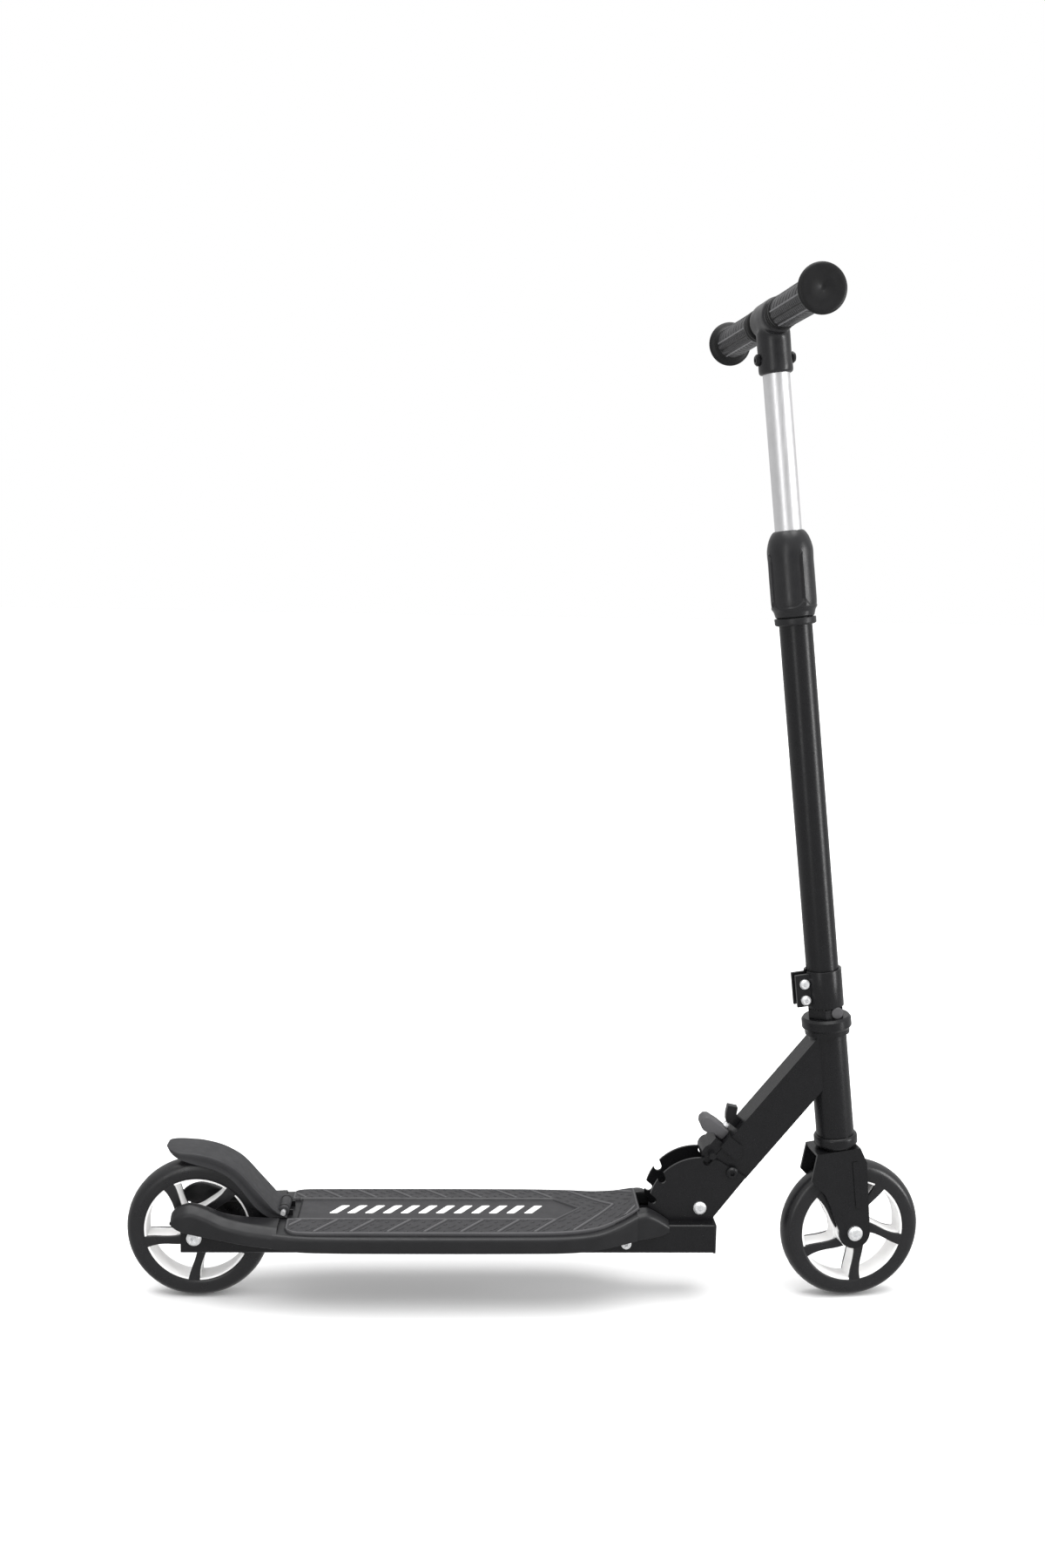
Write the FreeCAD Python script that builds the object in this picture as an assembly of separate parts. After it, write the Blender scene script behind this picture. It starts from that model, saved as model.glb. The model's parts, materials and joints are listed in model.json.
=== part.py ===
"""Folding kick scooter for a child, in millimetres.

Axes: +X is forward, +Y is the rider's left and +Z is up. The origin lies on the floor, midway
between the two wheel centres. Three local frames keep the numbers short:
  wheel frame   - the axle runs along Y through the origin
  tube frame    - (along, above) the folding tube, measured from its pivot bolt
  column frame  - z climbs the steering axis from the foot below the front axle, x points forward
"""
import FreeCAD
import Part
import math
import os

os.makedirs("parts", exist_ok=True)

Vec = FreeCAD.Vector
X_AXIS = Vec(1, 0, 0)
Y_AXIS = Vec(0, 1, 0)
Z_AXIS = Vec(0, 0, 1)

# ---------------------------------------------------------------- driving dimensions
WHEEL_R = 72.5              # 145 mm wheels
WHEELBASE = 668.5
LEAN_DEG = 6.96             # steering axis leans back from the vertical
FORK_OFFSET = 6.4           # axle in front of the steering axis
STEER_AT_REST_DEG = 5.8     # the bar stands slightly turned, rider's right end forward

RAIL_BOTTOM = 56.0
RAIL_TOP = 86.0
RAIL_HALF_WIDTH = 30.0      # 60 x 30 mm box tube
RAIL_WALL = 2.0
RAIL_REAR = -348.0
RAIL_FRONT = 188.6
WHEEL_SLOT_END = -257.0     # the rear wheel turns in a slot behind this

PIVOT_X = 175.0
PIVOT_Z = 100.0
TUBE_RISE_DEG = 51.3        # folding tube, from the horizontal
TUBE_TOP = 22.0             # tube faces above and below the pivot, square to the tube
TUBE_BOTTOM = -18.0
TUBE_HALF_WIDTH = 15.0
TUBE_WALL = 2.0
CHEEK_INNER = 15.4
CHEEK_OUTER = 18.4
CHEEK_R = 52.7              # curved top edge of the hinge cheeks
LOCK_ANGLES = (0.0, 60.0, 88.0)
PIN_R = 3.5
PIN_SEAT_ALONG = 41.5       # lock pin when it is seated in a notch
PIN_ABOVE = 25.8
LOCK_TRAVEL = 8.7           # the slider is drawn pulled back by this much
STOP_ALONG = 48.9
STOP_ABOVE = -1.6

UPPER_TUBE_R = 13.0
LOWER_TUBE_R = 16.25
LOWER_TUBE_BORE_R = 14.7
STEERER_R = 14.2
HEAD_TUBE_R = 19.05
HEAD_TUBE_BORE_R = 16.5
CROWN_TOP = 89.3            # heights along the steering axis, from the axle's foot
HEAD_TUBE_FOOT = 102.5
HEAD_TUBE_HEAD = 210.0
FLANGE_TOP = 228.0
CLAMP_FOOT = 238.5
CLAMP_HEAD = 277.0
RING_FOOT = 624.5
SLEEVE_FOOT = 632.0
SLEEVE_HEAD = 716.0
TEE_FOOT = 864.4
BAR_HEIGHT = 916.4
BAR_R = 11.1
BAR_HALF = 140.0
RIGHT_GRIP = (-30.0, -146.0)
LEFT_GRIP = (32.0, 148.0)

AXLE_R = 3.95               # M8 axle bolts
BEARING_BORE_R = 4.0
BEARING_R = 11.0
BEARING_WIDTH = 7.0
HUB_HALF = 12.0
FORK_LEG_INNER = 16.0
FORK_LEG_OUTER = 19.0

BRAKE_PIN_X = -247.0
BRAKE_PIN_Z = 94.0
BRAKE_PIN_R = 2.5


# ---------------------------------------------------------------- helpers
def box(x0, x1, y0, y1, z0, z1):
    return Part.makeBox(x1 - x0, y1 - y0, z1 - z0, Vec(x0, y0, z0))


def rod_y(radius, y0, y1, x=0.0, z=0.0):
    return Part.makeCylinder(radius, y1 - y0, Vec(x, y0, z), Y_AXIS)


def rod_z(radius, z0, z1, x=0.0, y=0.0):
    return Part.makeCylinder(radius, z1 - z0, Vec(x, y, z0), Z_AXIS)


def rod_x(radius, x0, x1, y=0.0, z=0.0):
    return Part.makeCylinder(radius, x1 - x0, Vec(x0, y, z), X_AXIS)


def tube_y(outer, inner, y0, y1, x=0.0, z=0.0):
    return rod_y(outer, y0, y1, x, z).cut(rod_y(inner, y0 - 1, y1 + 1, x, z))


def tube_z(outer, inner, z0, z1):
    return rod_z(outer, z0, z1).cut(rod_z(inner, z0 - 1, z1 + 1))


def fuse(shapes):
    if len(shapes) == 1:
        return shapes[0]
    return shapes[0].fuse(shapes[1:]).removeSplitter()


def mirror_y(shape):
    return shape.mirror(Vec(0, 0, 0), Y_AXIS)


def polygon(points):
    return Part.makePolygon(points + [points[0]])


def plate_xz(points, y0, y1):
    """Plate with an outline of (x, z) corners, between two values of y."""
    face = Part.Face(polygon([Vec(x, y0, z) for x, z in points]))
    return face.extrude(Vec(0, y1 - y0, 0))


def revolve_z(points):
    """Solid turned about Z from (radius, z) corners."""
    face = Part.Face(polygon([Vec(r, 0, z) for r, z in points]))
    return face.revolve(Vec(0, 0, 0), Z_AXIS, 360)


def revolve_y(points):
    """Solid turned about Y from (radius, y) corners."""
    face = Part.Face(polygon([Vec(r, y, 0) for r, y in points]))
    return face.revolve(Vec(0, 0, 0), Y_AXIS, 360)


def polar(radius, degrees, x=0.0, z=0.0):
    angle = math.radians(degrees)
    return (x + radius * math.cos(angle), z + radius * math.sin(angle))


def largest(shape):
    return max(shape.Solids, key=lambda solid: solid.Volume)


def filleted(shape, radius, keep):
    """Round the edges that keep(edge) picks."""
    edges = [edge for edge in shape.Edges if keep(edge)]
    return shape.makeFillet(radius, edges)


def save(shape, name):
    """Write one node; a node of several solids stays several solids."""
    solids = shape.Solids
    node = solids[0] if len(solids) == 1 else Part.makeCompound(solids)
    node.exportStep("parts/" + name + ".step")
    print(name, len(solids), "solids", round(node.Volume / 1000.0, 2), "cm3")


def hex_nut(across_corners_r, bore_r, thickness):
    """Nut on the Y axis, from y = 0 to its thickness."""
    corners = [polar(across_corners_r, 60.0 * i) for i in range(6)]
    nut = plate_xz(corners, 0.0, thickness)
    return nut.cut(rod_y(bore_r, -1, thickness + 1))


def cap_bolt(head_r, head_height, shank_r, length):
    """Round-headed bolt on the Y axis: head below y = 0, shank from 0 to its length."""
    dome = [
        (0.0, -head_height),
        (head_r * 0.72, -head_height),
        (head_r, -head_height * 0.55),
        (head_r, 0.0),
        (0.0, 0.0),
    ]
    head = revolve_y(dome)
    key_corners = [polar(head_r * 0.42, 60.0 * i) for i in range(6)]
    key = plate_xz(key_corners, -head_height - 1, -head_height * 0.35)
    return head.cut(key).fuse(rod_y(shank_r, 0.0, length))


# ---------------------------------------------------------------- placements
def at_rear_wheel(shape):
    return shape.translated(Vec(-WHEELBASE / 2, 0, WHEEL_R))


LEAN = math.radians(LEAN_DEG)
COLUMN_FOOT = Vec(
    WHEELBASE / 2 - FORK_OFFSET * math.cos(LEAN),
    0,
    WHEEL_R - FORK_OFFSET * math.sin(LEAN),
)
LEAN_BACK = FreeCAD.Rotation(Y_AXIS, -LEAN_DEG)
STEERED = LEAN_BACK.multiply(FreeCAD.Rotation(Z_AXIS, STEER_AT_REST_DEG))


def moved(shape, base, rotation):
    """Copy of a shape, turned about the origin and then shifted to base."""
    copy = shape.copy()
    copy.Placement = FreeCAD.Placement(base, rotation).multiply(copy.Placement)
    return copy


def on_frame(shape):
    """Column frame to the scooter, for parts that don't steer."""
    return moved(shape, COLUMN_FOOT, LEAN_BACK)


def on_column(shape):
    """Column frame to the scooter, for parts that steer."""
    return moved(shape, COLUMN_FOOT, STEERED)


def in_tube(shape):
    """Tube frame (x along, z above) to the scooter."""
    return moved(shape, Vec(PIVOT_X, 0, PIVOT_Z), FreeCAD.Rotation(Y_AXIS, -TUBE_RISE_DEG))


# ---------------------------------------------------------------- wheels
TYRE_INNER_R = 55.6
LIP_R = 53.7
BARREL_INNER_R = 51.6
BARREL_HALF = 9.5
LIP_HALF = 11.5
SPOKE_HALF = 8.0
SPOKE_FACE_HALF = 10.8
HUB_R = 17.0
SPOKES = 5
SPOKE_SWEEP_DEG = 28.0


def spoke_outline(rim_angle, r0, r1):
    """Closed wire of one swept spoke between two radii."""
    steps = 6
    left = []
    right = []
    for i in range(steps + 1):
        t = i / steps
        radius = r0 + (r1 - r0) * t
        reach = max(0.0, 1.0 - (radius - 14.0) / 40.0)
        angle = rim_angle + SPOKE_SWEEP_DEG * reach ** 2.5
        half = 4.2 + 1.6 * abs(2 * t - 0.9) ** 1.6
        turn = math.degrees(half / radius)
        x, z = polar(radius, angle + turn)
        left.append(Vec(x, 0, z))
        x, z = polar(radius, angle - turn)
        right.append(Vec(x, 0, z))
    side_a = Part.BSplineCurve()
    side_a.interpolate(left)
    side_b = Part.BSplineCurve()
    side_b.interpolate(list(reversed(right)))
    return Part.Wire([
        side_a.toShape(),
        Part.makeLine(left[-1], right[-1]),
        side_b.toShape(),
        Part.makeLine(right[0], left[0]),
    ])


def spokes(first_angle, r0, r1, y0, y1):
    """All the spokes of a wheel, between two radii and two values of y."""
    result = []
    for i in range(SPOKES):
        face = Part.Face(spoke_outline(first_angle + i * 360.0 / SPOKES, r0, r1))
        face.translate(Vec(0, y0, 0))
        result.append(face.extrude(Vec(0, y1 - y0, 0)))
    return result


def make_rim(first_angle):
    hub = rod_y(HUB_R, -HUB_HALF, HUB_HALF)
    barrel = tube_y(TYRE_INNER_R, BARREL_INNER_R, -BARREL_HALF, BARREL_HALF)
    arms = spokes(first_angle, HUB_R - 2, BARREL_INNER_R + 2, -SPOKE_HALF, SPOKE_HALF)
    rim = fuse([hub, barrel] + arms)
    rim = rim.cut(rod_y(9.5, -20, 20))
    rim = rim.cut(rod_y(BEARING_R, -20, BEARING_WIDTH - HUB_HALF))
    return largest(rim.cut(rod_y(BEARING_R, HUB_HALF - BEARING_WIDTH, 20)))


def make_tyre(first_angle):
    """Tread, sidewalls and the soft faces moulded over the spokes, in one piece."""
    lip = Vec(LIP_R, LIP_HALF, 0)
    wall = Vec(60.0, 13.0, 0)
    shoulder = Vec(67.0, 11.6, 0)
    bulge = Vec(64.3, 12.8, 0)
    step = Vec(LIP_R, BARREL_HALF, 0)
    seat = Vec(TYRE_INNER_R, BARREL_HALF, 0)
    flip = FreeCAD.Rotation(X_AXIS, 180)
    corners = [shoulder, wall, lip, step, seat]
    mirrored = [flip.multVec(v) for v in corners]
    bulge_b = flip.multVec(bulge)
    edges = [
        Part.Arc(mirrored[0], Vec(WHEEL_R, 0, 0), shoulder).toShape(),
        Part.Arc(shoulder, bulge, wall).toShape(),
        Part.makeLine(wall, lip),
        Part.makeLine(lip, step),
        Part.makeLine(step, seat),
        Part.makeLine(seat, mirrored[4]),
        Part.makeLine(mirrored[4], mirrored[3]),
        Part.makeLine(mirrored[3], mirrored[2]),
        Part.makeLine(mirrored[2], mirrored[1]),
        Part.Arc(mirrored[1], bulge_b, mirrored[0]).toShape(),
    ]
    ring = Part.Face(Part.Wire(edges)).revolve(Vec(0, 0, 0), Y_AXIS, 360)
    under_lip = tube_y(LIP_R + 4, BARREL_INNER_R, -BARREL_HALF, BARREL_HALF)
    faces = []
    for y0, y1 in ((-SPOKE_FACE_HALF, -SPOKE_HALF), (SPOKE_HALF, SPOKE_FACE_HALF)):
        for plate in spokes(first_angle, HUB_R + 1.3, LIP_R + 1, y0, y1):
            faces.append(plate.cut(under_lip))
    return ring.fuse(faces)


def make_wheel(prefix, first_angle, place):
    rim = make_rim(first_angle)
    save(place(rim), prefix + "_rim")
    save(place(make_tyre(first_angle)), prefix + "_tyre")
    bearings = []
    for y0 in (-HUB_HALF, HUB_HALF - BEARING_WIDTH):
        ring = tube_y(BEARING_R, BEARING_BORE_R, y0, y0 + BEARING_WIDTH)
        bearings.append(ring)
    save(place(Part.makeCompound(bearings)), prefix + "_bearings")
    inner = HUB_HALF - BEARING_WIDTH
    save(place(tube_y(6.0, BEARING_BORE_R + 0.1, -inner, inner)), prefix + "_bearing_spacer")


def make_axle(prefix, bearing_plane, place):
    """Bolt, nut and the two spacers between the wheel and what carries the axle."""
    outer = bearing_plane
    wall = RAIL_WALL if prefix == "rear" else FORK_LEG_OUTER - FORK_LEG_INNER
    nut_height = 5.0
    length = 2 * outer + nut_height + 0.8
    bolt = cap_bolt(7.5, 4.6, AXLE_R, length).translated(Vec(0, -outer, 0))
    nut = hex_nut(7.5, AXLE_R, nut_height).translated(Vec(0, outer, 0))
    gap = 0.25
    spacers = []
    for side in (-1, 1):
        y0, y1 = sorted((side * (HUB_HALF + gap), side * (outer - wall)))
        spacers.append(tube_y(6.0, AXLE_R + 0.05, y0, y1))
    save(place(bolt), prefix + "_axle_bolt")
    save(place(nut), prefix + "_axle_nut")
    save(place(Part.makeCompound(spacers)), prefix + "_axle_spacers")


# ---------------------------------------------------------------- deck
SLOT_HALF = 24.0
HINGE_NOTCH_HALF = 19.6
COVER_SKIN = 2.2

# x, half width, skirt foot, ridge height, middle height
DECK_STATIONS = (
    (-252.0, 55.0, 71.0, 86.0, 88.4),
    (-215.0, 59.5, 70.0, 85.5, 88.4),
    (-160.0, 61.0, 70.0, 85.5, 88.4),
    (0.0, 61.0, 70.0, 85.5, 88.4),
    (45.0, 59.0, 70.0, 85.5, 88.4),
    (72.0, 54.0, 71.0, 87.4, 89.8),
    (93.0, 46.0, 72.0, 92.3, 94.0),
    (104.0, 41.0, 72.6, 96.2, 97.6),
    (113.0, 37.5, 73.5, 99.6, 101.0),
)


def deck_section(x, half, foot, ridge, middle):
    """Cross-section of the cover: an upturned tray with a crowned top."""
    flat = min(RAIL_HALF_WIDTH + 1.0, half - 12.0)
    outer = [(half, foot), (half, ridge - 2.5), (half - 4.0, ridge), (flat, middle)]
    under = max(middle - COVER_SKIN, RAIL_TOP + 0.1)
    inner = [
        (flat, under),
        (half - 5.0, ridge - COVER_SKIN),
        (half - 2.6, ridge - 4.0),
        (half - 2.6, foot),
    ]
    points = [Vec(x, -y, z) for y, z in outer]
    points += [Vec(x, y, z) for y, z in reversed(outer)]
    points += [Vec(x, y, z) for y, z in reversed(inner)]
    points += [Vec(x, -y, z) for y, z in inner]
    return polygon(points)


def rear_arm_section(x, half, foot, top):
    """Cover over one side of the rear fork: a cap and an outer skirt."""
    cap = RAIL_TOP + 0.3
    points = [
        (SLOT_HALF, cap),
        (SLOT_HALF, top - 1.5),
        (SLOT_HALF + 2.0, top),
        (half - 7.0, top - 1.0),
        (half, top - 9.0),
        (half, foot),
        (half - 2.6, foot),
        (half - 2.6, cap),
    ]
    return polygon([Vec(x, -y, z) for y, z in points])


def front_lobe_section(x, half, foot, top):
    """Cover beside one hinge cheek, falling away to the front."""
    cap = RAIL_TOP + 0.1
    points = [
        (HINGE_NOTCH_HALF, cap),
        (HINGE_NOTCH_HALF, top),
        (half - 5.0, top - 0.6),
        (half, top - 5.0),
        (half, foot),
        (half - 1.2, foot),
        (half - 1.2, cap - 2.0),
        (RAIL_HALF_WIDTH + 0.2, cap - 1.0),
        (RAIL_HALF_WIDTH + 0.2, cap),
    ]
    return polygon([Vec(x, -y, z) for y, z in points])


def make_deck_cover():
    sections = [deck_section(*station) for station in DECK_STATIONS]
    body = Part.makeLoft(sections, True, True)
    arm_stations = (
        (-250.0, 55.3, 71.0, 92.5),
        (-282.0, 48.5, 72.5, 94.0),
        (-305.0, 43.0, 74.5, 97.0),
        (-322.0, 40.0, 76.5, 104.0),
        (-336.0, 38.2, 78.5, 108.0),
        (-348.0, 37.6, 82.0, 107.0),
        (-356.0, 36.0, 86.0, 101.0),
    )
    arm = Part.makeLoft([rear_arm_section(*s) for s in arm_stations], True, True)
    lobe_stations = (
        (112.0, 37.6, 73.4, 100.8),
        (120.0, 36.4, 73.9, 101.5),
        (128.0, 34.6, 74.6, 98.5),
        (136.0, 33.0, 76.0, 93.5),
        (143.0, 32.0, 79.0, 88.4),
    )
    lobe = Part.makeLoft([front_lobe_section(*s) for s in lobe_stations], True, True)
    cover = fuse([body, arm, mirror_y(arm), lobe, mirror_y(lobe)])
    hinge_notch = box(110, 200, -HINGE_NOTCH_HALF, HINGE_NOTCH_HALF, 60, 140)
    cover = cover.cut(hinge_notch)
    cover = cover.cut(box(-264, -233, -13.2, 13.2, 60, 140))
    for x in COVER_SCREW_X:
        cover = cover.cut(rod_z(2.1, 60, 100, x, 0))
    save(largest(cover), "deck_cover")


def make_deck_mat():
    """Grip mat that follows the crown of the cover, with a sunk panel down its middle."""
    lift = 0.05
    thickness = 2.4
    stations = (
        (-243.0, 40.0, 87.5),
        (-236.0, 50.0, 87.0),
        (-215.0, 54.5, 86.0),
        (0.0, 54.5, 86.0),
        (45.0, 52.0, 86.2),
        (72.0, 45.0, 88.2),
        (93.0, 36.0, 93.2),
        (113.0, 26.0, 100.6),
    )
    sections = []
    for x, half, edge in stations:
        middle = cover_middle(x)
        flat = min(RAIL_HALF_WIDTH + 1.0, half - 3.0)
        low = [(half, edge + lift), (flat, middle + lift)]
        points = [Vec(x, -y, z) for y, z in low]
        points += [Vec(x, y, z) for y, z in reversed(low)]
        points += [Vec(x, y, z + thickness) for y, z in low]
        points += [Vec(x, -y, z + thickness) for y, z in reversed(low)]
        sections.append(polygon(points))
    mat = Part.makeLoft(sections, True, True)
    panel_floor = 88.4 + lift + 1.1
    mat = mat.cut(box(-232, 28, -24.5, 24.5, panel_floor, 100))
    mat = mat.cut(box(-264, -233, -24.0, 24.0, 80, 100))
    mat = mat.cut(cover_envelope())
    save(largest(mat), "deck_mat")


def cover_middle(x):
    """Height of the cover's flat middle at x."""
    for left, right in zip(DECK_STATIONS, DECK_STATIONS[1:]):
        if left[0] <= x <= right[0]:
            t = (x - left[0]) / (right[0] - left[0])
            return left[4] + (right[4] - left[4]) * t
    return DECK_STATIONS[0][4]


def cover_envelope():
    """Everything below the cover's top surface, to trim the mat."""
    sections = []
    for x, half, foot, ridge, middle in DECK_STATIONS:
        flat = min(RAIL_HALF_WIDTH + 1.0, half - 12.0)
        outer = [(half, foot), (half, ridge - 2.5), (half - 4.0, ridge), (flat, middle)]
        points = [Vec(x, -y, z + 0.02) for y, z in outer]
        points += [Vec(x, y, z + 0.02) for y, z in reversed(outer)]
        sections.append(polygon(points))
    return Part.makeLoft(sections, True, True)


COVER_SCREW_X = (-200.0, -60.0, 80.0)
SIDE_SCREW_X = 99.6
SIDE_SCREW_Z = 66.5


def make_chassis():
    w = RAIL_HALF_WIDTH
    rail = box(RAIL_REAR, RAIL_FRONT, -w, w, RAIL_BOTTOM, RAIL_TOP)
    rail = filleted(rail, 2.5, lambda edge: abs(edge.Length - (RAIL_FRONT - RAIL_REAR)) < 0.1)
    t = RAIL_WALL
    hollow = box(RAIL_REAR - 1, RAIL_FRONT + 1, t - w, w - t, RAIL_BOTTOM + t, RAIL_TOP - t)
    rail = rail.cut(hollow)
    rail = rail.cut(box(RAIL_REAR - 1, WHEEL_SLOT_END, t - w, w - t, 40, 100))
    rail = rail.cut(rod_y(AXLE_R + 0.05, -60, 60, -WHEELBASE / 2, WHEEL_R))
    rail = rail.cut(rod_y(2.55, -60, 60, SIDE_SCREW_X, SIDE_SCREW_Z))
    for x in COVER_SCREW_X:
        rail = rail.cut(rod_z(2.1, RAIL_TOP - 5, RAIL_TOP + 5, x, 0))
        rail = rail.cut(rod_z(5.0, RAIL_BOTTOM - 5, RAIL_BOTTOM + 5, x, 0))
    save(largest(rail), "chassis_rail")

    inner = w - t - 0.3
    top = RAIL_TOP - t - 0.3
    foot = RAIL_BOTTOM + t + 0.3
    insert = box(RAIL_FRONT - 12, RAIL_FRONT, -inner, inner, foot, top)
    insert = insert.cut(box(RAIL_FRONT - 13, RAIL_FRONT - 1, 2 - inner, inner - 2, foot + 2, top - 2))
    face = box(RAIL_FRONT, RAIL_FRONT + 2.6, -w, w, RAIL_BOTTOM, RAIL_TOP)
    save(fuse([face, insert]), "rail_front_plug")

    screws = []
    for side in (-1, 1):
        screw = cap_bolt(5.2, 2.8, 2.5, 12).translated(Vec(SIDE_SCREW_X, -w, SIDE_SCREW_Z))
        screws.append(screw if side < 0 else mirror_y(screw))
    save(Part.makeCompound(screws), "side_screws")

    screws = []
    for x in COVER_SCREW_X:
        shank = rod_z(2.0, RAIL_TOP - t - 0.1, RAIL_TOP + 1.9, x, 0)
        head = rod_z(4.2, RAIL_TOP - t - 3.0, RAIL_TOP - t, x, 0)
        screws.append(head.fuse(shank))
    save(Part.makeCompound(screws), "cover_screws")


# ---------------------------------------------------------------- folding hinge
def slot_in_tube_frame(y0, y1):
    """Pocket that the lock pin slides into, open away from the pivot."""
    reach = PIN_R + 0.3
    round_end = rod_y(reach, y0, y1, PIN_SEAT_ALONG, PIN_ABOVE)
    way_out = box(PIN_SEAT_ALONG, 80, y0, y1, PIN_ABOVE - reach, PIN_ABOVE + reach)
    return round_end.fuse(way_out)


def cheek_plate(y0, y1):
    arc_start = Vec(*insert_y(polar(CHEEK_R, 178, PIVOT_X, PIVOT_Z), y0))
    arc_middle = Vec(*insert_y(polar(CHEEK_R, 120, PIVOT_X, PIVOT_Z), y0))
    arc_end = Vec(*insert_y(polar(CHEEK_R, 70, PIVOT_X, PIVOT_Z), y0))
    corners = [
        arc_end,
        Vec(221.5, y0, 132.2),
        Vec(189.6, y0, 90.0),
        Vec(189.6, y0, RAIL_TOP),
        Vec(133.0, y0, RAIL_TOP),
        arc_start,
    ]
    edges = [Part.Arc(arc_start, arc_middle, arc_end).toShape()]
    edges += [Part.makeLine(a, b) for a, b in zip(corners, corners[1:])]
    plate = Part.Face(Part.Wire(edges)).extrude(Vec(0, y1 - y0, 0))
    for angle in LOCK_ANGLES:
        slot = in_tube(slot_in_tube_frame(y0 - 1, y1 + 1))
        slot.rotate(Vec(PIVOT_X, 0, PIVOT_Z), Y_AXIS, -angle)
        plate = plate.cut(slot)
    plate = plate.cut(rod_y(4.05, y0 - 1, y1 + 1, PIVOT_X, PIVOT_Z))
    stop_x, stop_z = stop_centre()
    plate = largest(plate.cut(rod_y(3.0, y0 - 1, y1 + 1, stop_x, stop_z)))
    return plate


def insert_y(point, y):
    return (point[0], y, point[1])


def stop_centre():
    rise = math.radians(TUBE_RISE_DEG)
    x = PIVOT_X + STOP_ALONG * math.cos(rise) - STOP_ABOVE * math.sin(rise)
    z = PIVOT_Z + STOP_ALONG * math.sin(rise) + STOP_ABOVE * math.cos(rise)
    return x, z


def make_hinge():
    save(cheek_plate(-CHEEK_OUTER, -CHEEK_INNER), "hinge_cheek_right")
    save(cheek_plate(CHEEK_INNER, CHEEK_OUTER), "hinge_cheek_left")
    save(box(134, 189.6, -CHEEK_INNER, CHEEK_INNER, RAIL_TOP, RAIL_TOP + 2), "hinge_base")

    bolt = cap_bolt(6.6, 4.2, 4.0, 2 * CHEEK_OUTER + 7).translated(Vec(0, -CHEEK_OUTER, 0))
    save(bolt.translated(Vec(PIVOT_X, 0, PIVOT_Z)), "pivot_bolt")
    nut = hex_nut(7.2, 4.0, 6.0).translated(Vec(PIVOT_X, CHEEK_OUTER, PIVOT_Z))
    save(nut, "pivot_nut")
    stop_x, stop_z = stop_centre()
    stop = cap_bolt(6.0, 3.4, 2.95, 2 * CHEEK_OUTER + 4)
    end_nut = hex_nut(5.5, 2.95, 4.0).translated(Vec(0, 2 * CHEEK_OUTER, 0))
    save(stop.translated(Vec(stop_x, -CHEEK_OUTER, stop_z)), "stop_screw")
    save(end_nut.translated(Vec(stop_x, -CHEEK_OUTER, stop_z)), "stop_screw_nut")


def make_down_tube():
    """Box tube from the pivot to the head tube, with a rounded foot that clears the rail."""
    w = TUBE_HALF_WIDTH
    reach = 213.0
    foot_arc = Part.Arc(Vec(-7.4, -w, 8.6), Vec(-11.2, -w, 0.8), Vec(-8.8, -w, -7.2)).toShape()
    corners = [
        Vec(-8.8, -w, -7.2),
        Vec(1.0, -w, TUBE_BOTTOM),
        Vec(reach, -w, TUBE_BOTTOM),
        Vec(reach, -w, TUBE_TOP),
        Vec(9.2, -w, TUBE_TOP),
        Vec(-7.4, -w, 8.6),
    ]
    edges = [foot_arc] + [Part.makeLine(a, b) for a, b in zip(corners, corners[1:])]
    tube = Part.Face(Part.Wire(edges)).extrude(Vec(0, 2 * w, 0))
    t = TUBE_WALL
    hollow = box(12, reach + 5, t - w, w - t, TUBE_BOTTOM + t, TUBE_TOP - t)
    tube = tube.cut(hollow)
    tube = tube.cut(rod_y(7.0, -40, 40))
    slot_half = 3.35
    notch = box(STOP_ALONG - slot_half - 4.2, STOP_ALONG + slot_half, -40, 40, -40, STOP_ABOVE)
    notch = notch.fuse(rod_y(slot_half, -40, 40, STOP_ALONG, STOP_ABOVE))
    tube = in_tube(tube.cut(notch))
    tube = tube.cut(on_frame(rod_z(HEAD_TUBE_R, 60, 260)))
    tube = tube.cut(on_frame(rod_z(40.0, HEAD_TUBE_HEAD, 260)))
    save(largest(tube), "down_tube")
    bush = tube_y(7.0, 4.06, -w, w)
    save(in_tube(bush), "pivot_bush")
    tab_outline = [
        (84.6, TUBE_TOP), (95.0, TUBE_TOP), (95.0, 29.0), (102.7, 33.3), (98.0, 42.6),
        (90.0, 38.4), (84.6, 34.0),
    ]
    save(in_tube(plate_xz(tab_outline, -4.5, 4.5)), "spring_tab")


def coil(radius, wire_r, start, turns, pitch, axis):
    """Close-wound spring drawn as a stack of rings along an axis through the origin."""
    rings = []
    for i in range(turns):
        rings.append(Part.makeTorus(radius, wire_r, axis * (start + i * pitch), axis))
    return fuse(rings)


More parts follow.
